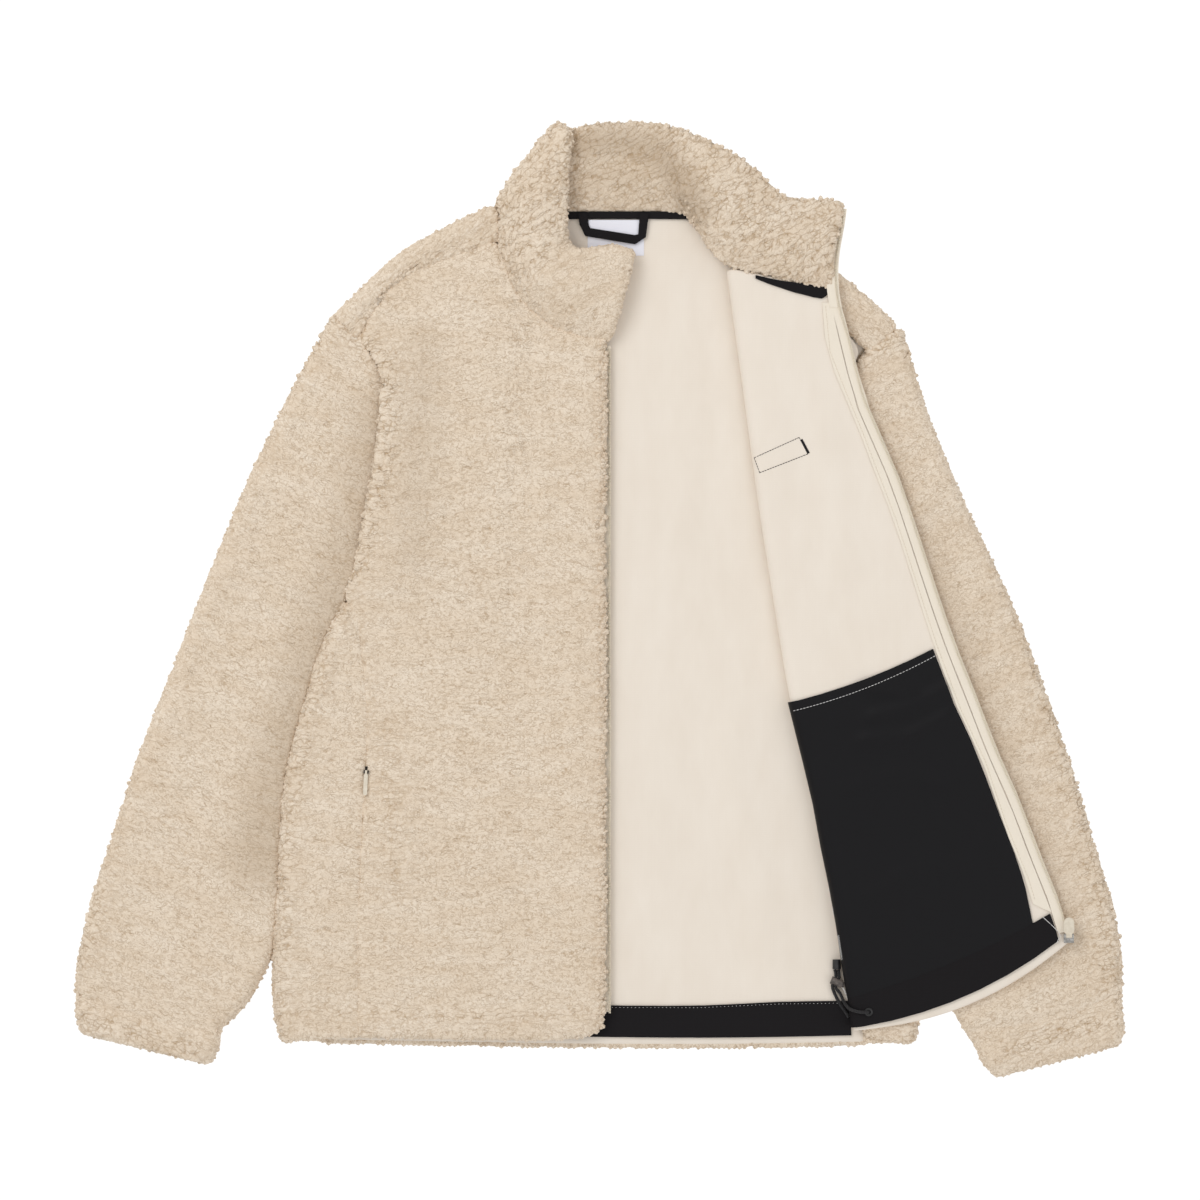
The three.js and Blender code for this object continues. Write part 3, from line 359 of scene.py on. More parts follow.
def cloth_material(name, light, dark, ribs, roughness, bump, sheen=0.1, streaks=0.35, level=0.3):
    made, tree, shader = material(name)
    knit = node(tree, "ShaderNodeGroup", {}, node_tree=FINE_KNIT)
    feed(tree, knit, {"Place": millimetres(tree), "Ribs": ribs})
    height, cloud = knit.outputs
    streaky = maths(tree, "MULTIPLY", cloud, streaks)
    factor = maths(tree, "MULTIPLY_ADD", height, 1 - streaks, streaky, clamp=True)
    feed(tree, shader, {
        "Base Color": blended(tree, factor, dark, light), "Normal": bump_from(tree, height, bump, 0.0003),
        "Roughness": maths(tree, "MULTIPLY_ADD", cloud, 0.1, roughness - 0.05),
        "Sheen Weight": sheen, "Specular IOR Level": level})
    return made


PILE = pile_material()
BACKING = cloth_material("bonded backing", srgb(240, 231, 219), srgb(228, 216, 201), 5.2, 0.85, 0.05,
                         streaks=0.75)
BLACK = cloth_material("black lining cloth", srgb(27, 24, 26), srgb(15, 13, 15), 6.3, 0.7, 0.25, 0.0,
                       level=0.15)
BAG = cloth_material("black pocketing", srgb(19, 18, 21), srgb(9, 8, 10), 7.1, 0.55, 0.2, 0.0,
                     level=0.18)
TAPE = cloth_material("zip tape", srgb(243, 234, 219), srgb(232, 221, 203), 9.0, 0.8, 0.4)
LABEL = cloth_material("satin label", srgb(240, 240, 247), srgb(226, 226, 236), 11.0, 0.45, 0.15)
ELASTIC = cloth_material("elastic cord", srgb(40, 38, 40), srgb(14, 13, 14), 3.0, 0.6, 0.8)
COIL = cloth_material("nylon coil", srgb(240, 231, 212), srgb(224, 213, 192), 4.0, 0.45, 0.2, 0.0)
WHITE_THREAD = cloth_material("white thread", srgb(236, 234, 232), srgb(212, 210, 208), 13.0, 0.7, 0.4,
                              0.1)
CREAM_THREAD = cloth_material("cream thread", srgb(234, 222, 204), srgb(214, 200, 180), 13.0, 0.7, 0.4,
                              0.1)
BLACK_THREAD = cloth_material("black thread", srgb(34, 32, 34), srgb(16, 15, 17), 13.0, 0.7, 0.4, 0.0)


def wear_group():
    """Handling marks: cloudy patches, fine grain and short scratches."""
    group, given, out = group_with("handling wear", "ShaderNodeTree",
                                   {"Place": "Vector", "Scale": "Float"},
                                   {"Patches": "Float", "Grain": "Float"})
    place = scaled(group, given["Place"], given["Scale"])
    patches = ramp(group, grain(group, place, 0.3, 3.0), 0.35, 0.7)
    scratches = grain(group, vectors(group, "MULTIPLY", place, (0.3, 4.0, 4.0)), 1.6, 2.0, 0.6)
    feed(group, out, {"Patches": patches, "Grain": scratches})
    return group


WEAR = wear_group()


def hard_material(name, light, dark, roughness, metallic=0.0, scale=1.0, bump=0.15):
    made, tree, shader = material(name)
    wear = node(tree, "ShaderNodeGroup", {}, node_tree=WEAR)
    feed(tree, wear, {"Place": millimetres(tree), "Scale": scale})
    patches, marks = wear.outputs
    feed(tree, shader, {
        "Base Color": blended(tree, patches, dark, light), "Normal": bump_from(tree, marks, bump, 0.0002),
        "Roughness": maths(tree, "MULTIPLY_ADD", marks, 0.25, roughness - 0.12), "Metallic": metallic})
    return made


OLD_NICKEL = hard_material("dark nickel", srgb(92, 84, 76), srgb(46, 42, 38), 0.35, 1.0)
NICKEL = hard_material("nickel", srgb(206, 204, 200), srgb(150, 148, 145), 0.3, 1.0)
PULL = hard_material("moulded pull", srgb(226, 216, 198), srgb(214, 203, 184), 0.5)
BLACK_METAL = hard_material("black enamel", srgb(36, 35, 36), srgb(18, 18, 19), 0.4, 0.0)
HORN = hard_material("horn plastic", srgb(112, 103, 97), srgb(74, 68, 64), 0.42)
BLACK_PLASTIC = hard_material("black plastic", srgb(44, 43, 43), srgb(20, 20, 20), 0.45)


# ---------------------------------------------------------------- pile as relief
PILE_DEPTH, PILE_SWELL = 1.1, 1.2  # from the curls' tops to their feet, and of the broad swells
LOFT = 0.7  # how far the pile stands above the wall's face
RIM_LOFT = 1.3  # how much further it stands at the edges, where it closes over the seams
RIM_DEPTH = 1.6  # how much deeper its curls are there
OPEN_DEPTH = 0.8  # and how much deeper where it lies open
PRESSED = 0.1  # its lowest points
FAR = 9  # metres, further than any point


def curls_geometry_group():
    """Moves a pile face in and out along its normals, by the same curls as the pile's colour."""
    group, given, out = group_with("pile relief", "GeometryNodeTree",
                                   {"Geometry": "Geometry", "Depth": "Float", "Swell": "Float"},
                                   {"Geometry": "Geometry"})
    group.is_modifier = True

    def stored(name, kind):
        return node(group, "GeometryNodeInputNamedAttribute", {"Name": name}, data_type=kind).outputs[0]

    cloth = stored("cloth", "FLOAT_VECTOR")
    mask = stored("pile", "FLOAT")
    rough = stored("coarseness", "FLOAT")
    height, _, _ = curls(group, cloth, rough)
    lump = maths(group, "SUBTRACT", grain(group, cloth, 0.06, 2.0), 0.5)
    normal = node(group, "GeometryNodeInputNormal", {}).outputs[0]
    facing = node(group, "ShaderNodeSeparateXYZ", {0: normal}).outputs[2]
    rim = maths(group, "SUBTRACT", 1.0, maths(group, "ABSOLUTE", facing))
    deeper = maths(group, "MULTIPLY_ADD", rim, RIM_DEPTH, 1.0)
    depth = maths(group, "MULTIPLY", given["Depth"], deeper)
    depth = maths(group, "MULTIPLY", depth, maths(group, "MULTIPLY_ADD", rough, OPEN_DEPTH, 1.0))
    raised = maths(group, "MULTIPLY", maths(group, "SUBTRACT", height, 0.5), depth)
    raised = maths(group, "ADD", raised, maths(group, "MULTIPLY", lump, given["Swell"]))
    raised = maths(group, "ADD", raised, maths(group, "MULTIPLY_ADD", rim, RIM_LOFT * MM, LOFT * MM))
    offset = scaled(group, normal, maths(group, "MULTIPLY", raised, mask))
    moved = node(group, "GeometryNodeSetPosition", {"Geometry": given["Geometry"], "Offset": offset})
    place = node(group, "GeometryNodeInputPosition", {}).outputs[0]
    # The surface underneath presses the pile flat.
    pressed = vectors(group, "MAXIMUM", place, (-FAR, -FAR, PRESSED * MM))
    flat = node(group, "GeometryNodeSetPosition", {"Geometry": moved.outputs[0], "Position": pressed})
    feed(group, out, {"Geometry": flat.outputs[0]})
    return group


PILE_RELIEF = curls_geometry_group()


def apply_modifier(piece, modifier):
    activate(piece)
    bpy.ops.object.modifier_apply(modifier=modifier.name)


def round_off(piece):
    modifier = piece.modifiers.new("round", "SUBSURF")
    modifier.levels = modifier.render_levels = 2
    apply_modifier(piece, modifier)


def raise_pile(piece):
    modifier = piece.modifiers.new("pile", "NODES")
    modifier.node_group = PILE_RELIEF
    amounts = {"Depth": PILE_DEPTH * MM, "Swell": PILE_SWELL * MM}
    for item in PILE_RELIEF.interface.items_tree:
        if item.name in amounts:
            modifier[item.identifier] = amounts[item.name]
    apply_modifier(piece, modifier)


# ---------------------------------------------------------------- cloth walls
PILE_SLOT, BACKING_SLOT = 0, 1
SLIT = 0.014  # a face that meets its own piece within this distance is inside a fold
CLEAR = 0.00002  # nearer points than this are one point
SPARE = 1.4  # edges are cut when they are this much over their limit


def is_inside(tree, centre, normal):
    hit, _, _, _ = tree.ray_cast(centre + normal * CLEAR, normal, SLIT)
    return hit is not None


def cad_copy(node_name, name, *finishes):
    """A copy of a CAD piece with materials of its own, and its merged shape to work on."""
    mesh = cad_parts[node_name].data.copy()
    mesh.name = name
    if "custom_normal" in mesh.attributes:
        mesh.attributes.remove(mesh.attributes["custom_normal"])
    mesh.materials.clear()
    for finish in finishes:
        mesh.materials.append(finish)
    piece = new_piece(name, mesh)
    shape = bmesh.new()
    shape.from_mesh(mesh)
    bmesh.ops.remove_doubles(shape, verts=shape.verts, dist=CLEAR)
    return piece, shape


def join_flat(piece, shape, angle, **settings):
    """Joins triangles that lie nearly flat, and gives the shape back to its piece."""
    bmesh.ops.join_triangles(shape, faces=shape.faces, angle_face_threshold=math.radians(angle),
                             angle_shape_threshold=math.radians(80), **settings)
    shape.to_mesh(piece.data)
    shape.free()


def wall_copy(node_name, name, faces):
    """A copy of a CAD wall, its faces sorted into pile and backing by the given rule."""
    piece, shape = cad_copy(node_name, name, PILE, BACKING)
    shape.normal_update()
    tree = BVHTree.FromBMesh(shape)
    for face in shape.faces:
        face.material_index = faces(face, is_inside(tree, face.calc_center_median(), face.normal))
        face.smooth = True
    join_flat(piece, shape, 70, cmp_materials=True)
    return piece


def outside_is_pile(face, inside):
    return BACKING_SLOT if inside else PILE_SLOT


def inside_is_pile(face, inside):
    return PILE_SLOT if inside else BACKING_SLOT


def pile_down(face, inside):
    return BACKING_SLOT if face.normal.z > 0.5 else PILE_SLOT


def pile_up(face, inside):
    return BACKING_SLOT if face.normal.z < -0.5 else PILE_SLOT


def all_pile(face, inside):
    return PILE_SLOT


FINE, MIDDLE, COARSE = 1.6, 3.5, 4.4  # longest edges of pile seen close, of other pile, of backing


def cut_edges(piece, limit, rounds):
    """Halves the edges that are over their limit, again and again."""
    shape = bmesh.new()
    shape.from_mesh(piece.data)
    for _ in range(rounds):
        shape.normal_update()
        long = [edge for edge in shape.edges if edge.calc_length() > limit(edge)]
        if not long:
            break
        bmesh.ops.subdivide_edges(shape, edges=long, cuts=1, use_grid_fill=True)
    shape.to_mesh(piece.data)
    shape.free()


def refine(piece, seen):
    """Makes the pile's faces fine enough for its curls."""
    def limit(edge):
        face = min(edge.link_faces, key=lambda f: f.material_index)
        if face.material_index == BACKING_SLOT:
            return SPARE * (COARSE * MM)
        return SPARE * ((FINE if seen(face) else MIDDLE) * MM)
    cut_edges(piece, limit, 5)


def store(piece, name, kind, values):
    attribute = piece.data.attributes.new(name, kind, "POINT")
    attribute.data.foreach_set("vector" if kind == "FLOAT_VECTOR" else "value", values)


def store_pile(piece, places, rough, painted_shades, pile):
    """Every point's place on the cloth, how open its pile is, its painted shade, and whether it is pile."""
    store(piece, "cloth", "FLOAT_VECTOR", places)
    store(piece, "coarseness", "FLOAT", rough)
    store(piece, "painted_shade", "FLOAT", painted_shades)
    store(piece, "pile", "FLOAT", pile)


def share_beside(points, reach):
    """A rule: 1 on a line of points, falling smoothly to 0 at the reach beside it."""
    ends = [(Vector(a), Vector(b) - Vector(a)) for a, b in zip(points, points[1:])]
    left, right = min(x for x, _ in points) - reach, max(x for x, _ in points) + reach
    low, high = min(y for _, y in points) - reach, max(y for _, y in points) + reach

    def share(p):
        if not (left < p.x < right and low < p.y < high):
            return 0.0
        nearest = reach
        for start, span in ends:
            along = (p.x - start.x) * span.x + (p.y - start.y) * span.y
            k = clamped(along / span.length_squared)
            nearest = min(nearest, math.hypot(p.x - start.x - span.x * k, p.y - start.y - span.y * k))
        t = 1 - nearest / reach
        return t * t * (3 - 2 * t)
    return share


def strongest(rules):
    """One rule from several weighted ones: the largest of them."""
    def rule(p):
        return max((weight * share(p) for weight, share in rules), default=0.0)
    return rule


def summed(rules):
    """One rule from several weighted ones: their sum."""
    def rule(p):
        return sum(weight * share(p) for weight, share in rules)
    return rule


# Where the pile lies open in coarse curls, by piece: (weight, reach, line on the pattern).
COLLAR_PILE = [(1.0, 120, [(-90, 300), (-40, 380), (60, 380), (180, 300)])]
OPEN_PILE = {
    "front_right": [
        (0.9, 34, [(-203, 222), (-183, 203), (-184, 160), (-188, 123), (-194, 92), (-200, 60),
            (-208, 24)]),
        (0.7, 16, [(4, 221), (5, 60), (5, -180), (3, -363)]),
        (0.75, 15, [(-200, -352), (-80, -354), (3, -352)]),
        (0.7, 26, [(-178, -112), (-176, -180), (-176, -250)]),
        (0.5, 24, [(-206, 0), (-204, -60), (-202, -110)])],
    "side_right": [
        (0.8, 22, [(-222, -10), (-247, -90), (-262, -180), (-270, -300), (-272, -370)]),
        (0.7, 15, [(-270, -350), (-200, -352)])],
    "side_left": [
        (0.8, 22, [(238, -10), (250, -90), (262, -300), (262, -370)])],
    "sleeve_right": [
        (0.95, 30, [(-238, 226), (-270, 182), (-313, 90), (-356, 0), (-392, -90), (-424, -200),
            (-440, -300)]),
        (0.9, 24, [(-226, 240), (-207, 221), (-184, 200)]),
        (0.9, 20, [(-436, -356), (-400, -366), (-345, -382)])],
    "sleeve_left": [
        (0.95, 30, [(268, 214), (300, 160), (330, 80), (366, -30), (400, -150), (430, -270),
            (436, -330)]),
        (0.9, 24, [(255, 229), (244, 224), (221, 204)]),
        (0.9, 20, [(345, -382), (400, -366), (436, -356)])],
    "shoulder_right": [(0.6, 60, [(-190, 230), (-90, 310)])],
    "shoulder_left": [(0.6, 60, [(180, 240), (120, 300)])],
    "collar_outer": COLLAR_PILE,
    "collar_inner": COLLAR_PILE,
}
# Where shade is painted into the pile's colour, beside the body and inside the collar.
PAINTED_SHADE_LINES = {
    "sleeve_right": [
        (0.75, 52, [(-184, 150), (-190, 110), (-205, 50), (-226, -10), (-262, -120), (-290, -220)])],
    "sleeve_left": [
        (0.75, 52, [(212, 130), (240, 60), (280, -30), (318, -130), (350, -220), (372, -290)])],
    "collar_inner": [
        (0.95, 30, [(-22, 384), (14, 390), (46, 382), (68, 356), (80, 334)]),
        (0.5, 36, [(-22, 360), (20, 362), (60, 350)])],
    "front_right": [
        (0.35, 30, [(-150, 215), (-152, 120), (-160, 40)])],
    "shoulder_left": [
        (0.5, 30, [(188, 240), (205, 225)])],
}
# Main folds by piece: (height, reach, line). The first lift the upper wall, the second press into
# the lower face.
FOLDS = {
    "sleeve_right": [
        (2.2, 24, [(-226, 60), (-262, 92), (-300, 96)]),
        (1.7, 20, [(-240, 10), (-282, 34), (-322, 26)]),
        (1.6, 26, [(-276, -96), (-318, -80), (-366, -98)]),
        (1.3, 22, [(-330, -250), (-372, -232), (-404, -240)])],
    "sleeve_left": [
        (2.0, 24, [(262, 80), (292, 104), (306, 108)]),
        (1.8, 22, [(300, -20), (330, 8), (352, 10)]),
        (1.5, 24, [(352, -200), (384, -180), (412, -184)])],
    "front_right": [
        (1.5, 26, [(-150, 190), (-142, 120), (-150, 40)]),
        (1.2, 30, [(-120, -40), (-96, -150), (-104, -260)]),
        (1.1, 24, [(-60, 190), (-50, 120), (-58, 60)])],
    "back": [
        (1.3, 30, [(56, 280), (74, 170), (66, 60)]),
        (1.5, 26, [(112, 210), (128, 80), (150, -60)]),
        (1.0, 34, [(34, 20), (48, -120), (38, -290)]),
        (1.2, 24, [(108, -120), (128, -210), (146, -320)])],
    "front_left": [
        (1.2, 26, [(140, 240), (150, 170), (146, 96)]),
        (1.3, 22, [(192, 150), (196, 90), (214, 34)]),
        (0.9, 24, [(158, 40), (172, 0), (180, -30)])],
    "collar_outer": [
        (1.4, 20, [(-66, 300), (-50, 276), (-22, 262)]),
        (1.2, 18, [(150, 330), (160, 300), (176, 286)])],
    "collar_inner": [
        (3.0, 22, [(64, 402), (90, 356), (104, 318)]),
        (1.6, 18, [(120, 340), (140, 318), (170, 306)])],
}
PRESSED_FOLDS = {
    "back": [
        (2.2, 16, [(-150, 180), (-120, 60), (-140, -60)]),
        (2.0, 14, [(90, 190), (110, 50), (100, -90)]),
        (1.8, 18, [(-60, -80), (-40, -200), (-52, -320)])],
    "sleeve_right": [
        (2.0, 12, [(-226, 60), (-262, 92), (-300, 96)]),
        (1.8, 12, [(-276, -96), (-318, -80), (-366, -98)])],
    "sleeve_left": [
        (2.0, 12, [(262, 80), (292, 104), (306, 108)]),
        (1.8, 12, [(352, -200), (384, -180), (412, -184)])],
}
CUFFS = [
    (1.5, 7, [(-448, -334), (-420, -346), (-380, -358), (-322, -366)]),
    (1.5, 7, [(440, -334), (412, -346), (372, -358), (318, -366)])]


def beside_all(rows, combine):
    return combine([(weight, share_beside(line, reach)) for weight, reach, line in rows])


ZIP_SHOWS = 4.2  # how far the closed front's edge stands back, so that the zip under it shows
EDGE_WIDE = 18  # over this width the front gives way to it
UNDERARM = Vector((-206, 6))  # where the front covers the corner between sleeve and side
UNDERARM_COVER = 12
NECK_CORNER = Vector((-93, 297))  # where it covers the corner between shoulder and collar
NECK_COVER = Vector((2.5, 5.0, 0))
LAYERS = {"back": 3.5, "front_left": 14.8}  # above this level a piece's upper wall begins
COMMON_LAYER = 7.3  # the same for the other pieces
SLEEVE_TOP, UNDERSIDE = 11, 3.5
LEAST_OPEN = 0.15  # how open all pile is


def over_underarm(p):
    """How far the closed front's armhole edge reaches over the sleeve."""
    side = max(0.0, 1 - (p.x - UNDERARM.x + 14) / 34)
    return -UNDERARM_COVER * min(1.0, side) * bell(p.y, UNDERARM.y, 17)


def over_neck(p):
    """How far the closed front's upper corner reaches over the corner by the collar."""
    return NECK_COVER * bell(math.hypot(p.x - NECK_CORNER.x, p.y - NECK_CORNER.y), 0, 12)


def collar_drawn_in(p):
    """How far the collar's front end draws back, so that the zip's tape shows beside it."""
    end, lower = clamped((p.x - 165) / 35), clamped((p.x - 120) / 50)
    return Vector((-7 * end * bell(p.y, 292, 30), -3 * lower * bell(p.y, 264, 18), 0))


def zip_drawn_in(p):
    return -4 * bell(p.y, 290, 34)


def lay_cloth(piece, node_name, turn):
    """Folds the cloth, and stores how its pile lies and how much shade is painted on it at every point."""
    mesh = piece.data
    back = Matrix.Rotation(-math.radians(turn), 3, "Z")
    # The second rule gives the shade painted into the pile's colour.
    coarse, painted_shade = (beside_all(table.get(node_name, ()), strongest) for table in (OPEN_PILE, PAINTED_SHADE_LINES))
    lifted, pressed = (beside_all(table.get(node_name, ()), summed) for table in (FOLDS, PRESSED_FOLDS))
    cuffs = beside_all(CUFFS, summed)
    layer = LAYERS.get(node_name, COMMON_LAYER)
    places, rough, painted_shades = [], [], []
    for vertex in mesh.vertices:
        p = vertex.co / MM - SHIFT
        places.extend(back @ p)
        rough.append(min(1.0, LEAST_OPEN + coarse(p)))
        painted_shades.append(painted_shade(p))
        if p.z > layer:
            vertex.co.z += lifted(p) * MM
            if "sleeve" in node_name and p.z > SLEEVE_TOP:
                vertex.co.z -= cuffs(p) * MM
        elif p.z < UNDERSIDE:
            vertex.co.z += pressed(p) * MM
        if node_name in ("collar_inner", "collar_outer"):
            vertex.co += collar_drawn_in(p) * MM
        if node_name == "front_right":
            vertex.co += over_neck(p) * MM
            drawn = ZIP_SHOWS * clamped((p.x + EDGE_WIDE) / EDGE_WIDE)
            vertex.co.x += (over_underarm(p) - drawn) * MM
    bare = {k for polygon in mesh.polygons if polygon.material_index == BACKING_SLOT
            for k in polygon.vertices}
    store_pile(piece, places, rough, painted_shades, [0.0 if k in bare else 1.0 for k in range(len(rough))])


def seen_from_above(face):
    return face.normal.z > -0.25


def never(face):
    return False


# Name of the piece, its rule for pile, how far its cloth is turned, where its pile is seen close,
# and the size that it was cut to: width, length and area in metres.
CLOTH = {
    "back": ("pile_back", pile_down, 0, never, (0.47, 0.71, 0.298)),
    "front_right": ("pile_front_closed", pile_up, 0, seen_from_above, (0.215, 0.675, 0.141)),
    "front_left": ("pile_front_turned", inside_is_pile, 0, never, (0.24, 0.645, 0.128)),
    "side_right": ("pile_side_right", outside_is_pile, 0, seen_from_above, (0.11, 0.385, 0.041)),
    "side_left": ("pile_side_left", outside_is_pile, 0, seen_from_above, (0.09, 0.385, 0.033)),
    "shoulder_right": ("pile_shoulder_right", outside_is_pile, 35, seen_from_above, (0.06, 0.17, 0.008)),
    "shoulder_left": ("pile_shoulder_left", outside_is_pile, -35, seen_from_above, (0.06, 0.17, 0.009)),
    "sleeve_right": ("pile_sleeve_right", outside_is_pile, -22, seen_from_above, (0.36, 0.62, 0.155)),
    "sleeve_left": ("pile_sleeve_left", outside_is_pile, 22, seen_from_above, (0.36, 0.62, 0.155)),
    "collar_outer": ("pile_collar_outer", all_pile, 30, seen_from_above, (0.09, 0.5, 0.037)),
    "collar_inner": ("pile_collar_inner", all_pile, 30, seen_from_above, (0.09, 0.5, 0.037)),
}


def stands_for(piece, node_name, slot_name):
    ridden(piece, slot_name)
    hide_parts(node_name)


cloth_pieces = {}
for node_name, (name, rule, turn, seen, _) in CLOTH.items():
    piece = wall_copy(node_name, name, rule)
    round_off(piece)
    if rule in (pile_up, pile_down):
        for polygon in piece.data.polygons:
            polygon.material_index = rule(polygon, False)
    refine(piece, seen)
    lay_cloth(piece, node_name, turn)
    raise_pile(piece)
    activate(piece)
    bpy.ops.object.shade_smooth()
    stands_for(piece, node_name, "pile")
    cloth_pieces[node_name] = piece


# ---------------------------------------------------------------- tapes, facings, labels and the pocket bag
def trim_copy(node_name, name, finish, longest):
    """A copy of a thin CAD strip, cut fine enough to ripple."""
    piece, shape = cad_copy(node_name, name, finish)
    join_flat(piece, shape, 40)
    cut_edges(piece, lambda edge: longest * SPARE * MM, 7)
    return piece


WAVE_LONG = 24  # the length of a strip's soft waves


def ripple(piece, height, lifted=None):
    """Soft waves that lift a strip off what it lies on, never into it."""
    for vertex in piece.data.vertices:
        p = vertex.co / MM - SHIFT
        wave = (noise.noise(Vector((p.x, p.y, 3.7)) / WAVE_LONG) + 0.5) * height
        vertex.co.z += (max(0.0, wave) + (lifted(p) if lifted else 0.0)) * MM


def bag_to_facing(p):
    """The pocket bag's lower edge comes down to the hem facing."""
    t = (p.x - 199) / 168.6
    above = p.y - (-335 + 65.4 * t - 20 * t * (1 - t))
    reach = 3.2 + 3.0 * clamped((t - 0.35) / 0.35)
    return Vector((0, -reach * clamped(1 - above / 40), 0))


ZIP_LINE = [
    (210, 332, 1.4), (208.8, 312, 1.4), (206.6, 290, 1.4), (204.8, 268, 1.2), (205.2, 254, 0.4),
    (207.4, 241.7, 0), (213.8, 218.5, 0), (219.3, 195, 0), (225, 173.4, 0), (234.3, 151, 0),
    (243, 131, 0), (255, 102.9, 0), (273, 50, 0), (293, -10.6, 0), (306.5, -47.6, 0),
    (319.6, -79.9, 0), (338, -127.5, 0), (357, -170, 0), (373, -212.5, 0), (386, -244, 0),
    (392.7, -262, 0), (395.6, -272, 0), (397.6, -281, 0)]


def level_at(line, x):
    """Height of a line of points over x."""
    for (ax, ay), (bx, by) in zip(line, line[1:]):
        if x <= bx:
            break
    return ay + (by - ay) * clamped((x - ax) / (bx - ax))


# The seam tape under the collar's end: its plain upper and lower edges, and the swollen ones.
PLAIN_TAPE = ([(132, 274.4), (165, 268.8), (195, 263.8)], [(132, 273.4), (165, 264.6), (192, 256.4)])
SWOLLEN_TAPE = ([(132, 275.8), (146, 272.6), (158, 270.4), (175, 268.6), (189, 268.6), (193, 263.6)],
                [(132, 272.8), (144.5, 267.6), (162.7, 261.6), (181, 256.8), (189, 255.6), (193, 259)])


def tape_under_collar(p):
    """The seam tape swells to a rounded end and tucks up to the collar's edge."""
    plain_high, plain_low = (level_at(line, p.x) for line in PLAIN_TAPE)
    share = clamped((p.y - plain_low) / (plain_high - plain_low))
    x = min(193.0, 132 + (p.x - 132) * 61 / (60 + 3 * share))
    high, low = (level_at(line, x) for line in SWOLLEN_TAPE)
    return Vector((x - p.x, low + (high - low) * share - p.y, 0))


TAPE_PAST, TAPE_LIFT = 5.4, 3.6  # how far the right tape's free edge stands out and curls up
FACING_FROM_ZIP = 11


def tape_past_front(p):
    return Vector((TAPE_PAST, 0, TAPE_LIFT)) if p.x > 0 else Vector()


def facing_to_tape(p):
    """The facing's outer edge reaches the zip's tape."""
    inner = level_at([(-y, x) for x, y, _ in ZIP_LINE], -p.y) - FACING_FROM_ZIP
    return Vector((1.3, 0.4, 0)) * clamped((p.x - inner) / 4)


def tape_with_zip(p):
    return Vector((zip_drawn_in(p), 0, 0))


MOVED_EDGES = {"pocket_bag": bag_to_facing, "neck_tape_left": tape_under_collar,
               "zip_tape_right": tape_past_front, "zip_tape_left": tape_with_zip,
               "zip_facing": facing_to_tape}

# Piece, finish, slot, longest edge, ripple, and the cut: width, length and area in metres.
TRIMS = {
    "neck_tape": ("neck_seam_tape", BLACK, "black_cloth", 3, 0.3, (0.0064, 0.134, 0.001)),
    "neck_tape_left": ("neck_seam_tape_left", BLACK, "black_cloth", 3, 0.3, (0.0075, 0.066, 0.00035)),
    "label_main": ("blank_label_large", LABEL, "label", 3, 0.25, (0.0304, 0.0479, 0.00145)),
    "label_size": ("blank_label_small", LABEL, "label", 3, 0.1, (0.0132, 0.043, 0.00056)),
    "care_label": ("blank_care_label", LABEL, "label", 2, 0.3, (0.0064, 0.0245, 0.00013)),
    "hanger_loop": ("hanger_loop_tape", BLACK, "black_cloth", 3, 0.2, (0.0085, 0.098, 0.00075)),
    "back_hem_facing": ("back_hem_cloth", BLACK, "black_cloth", 4, 0.35, (0.029, 0.25, 0.0072)),
    "front_left_hem_facing": ("front_hem_cloth", BLACK, "black_cloth", 4, 0.3, (0.028, 0.21, 0.0058)),
    "pocket_bag": ("pocket_bag_cloth", BAG, "black_cloth", 4, 0.3, (0.195, 0.235, 0.04)),
    "zip_facing": ("zip_facing_cloth", TAPE, "tape", 4, 0.2, (0.014, 0.56, 0.0051)),
    "zip_tape_left": ("zip_tape_left_cloth", TAPE, "tape", 3, 0.1, (0.009, 0.59, 0.0053)),
    "zip_tape_right": ("zip_tape_right_cloth", TAPE, "tape", 5, 0.1, (0.018, 0.567, 0.0102)),
    "pocket_zip_tape": ("pocket_zip_cloth", TAPE, "tape", 3, 0.1, (0.002, 0.127, 0.00025)),
}
BAG_WRINKLES = [
    (2.2, 11, [(233, -98), (262, -92), (300, -72)]),
    (1.9, 9, [(224, -118), (262, -116), (296, -98)]),
    (0.9, 12, [(210, -160), (252, -150), (300, -156)]),
    (2.0, 10, [(214, -60), (236, -76), (262, -80)]),
    (0.9, 14, [(230, -250), (262, -232), (310, -228)])]
bag_wrinkles = beside_all(BAG_WRINKLES, summed)
trims = {}
for node_name, (name, finish, slot_name, longest, wave, _) in TRIMS.items():
    piece = trim_copy(node_name, name, finish, longest)
    if node_name in MOVED_EDGES:
        for vertex in piece.data.vertices:
            vertex.co += MOVED_EDGES[node_name](vertex.co / MM - SHIFT) * MM
    ripple(piece, wave, bag_wrinkles if node_name == "pocket_bag" else None)
    activate(piece)
    bpy.ops.object.shade_smooth_by_angle(angle=math.radians(40))
    stands_for(piece, node_name, slot_name)
    trims[node_name] = piece


# ---------------------------------------------------------------- zip teeth and thread
def edit_faces(piece, wanted):
    """Enters edit mode with only the wanted faces selected."""
    bpy.ops.object.mode_set(mode="EDIT")
    bpy.ops.mesh.select_mode(type="FACE")
    bpy.ops.mesh.select_all(action="DESELECT")
    shape = bmesh.from_edit_mesh(piece.data)
    for face in shape.faces:
        face.select_set(wanted(face))
    bmesh.update_edit_mesh(piece.data)


def mesh_of(piece):
    """The mesh of a modelled object, which is removed."""
    mesh = piece.data.copy()
    bpy.data.objects.remove(piece)
    return mesh


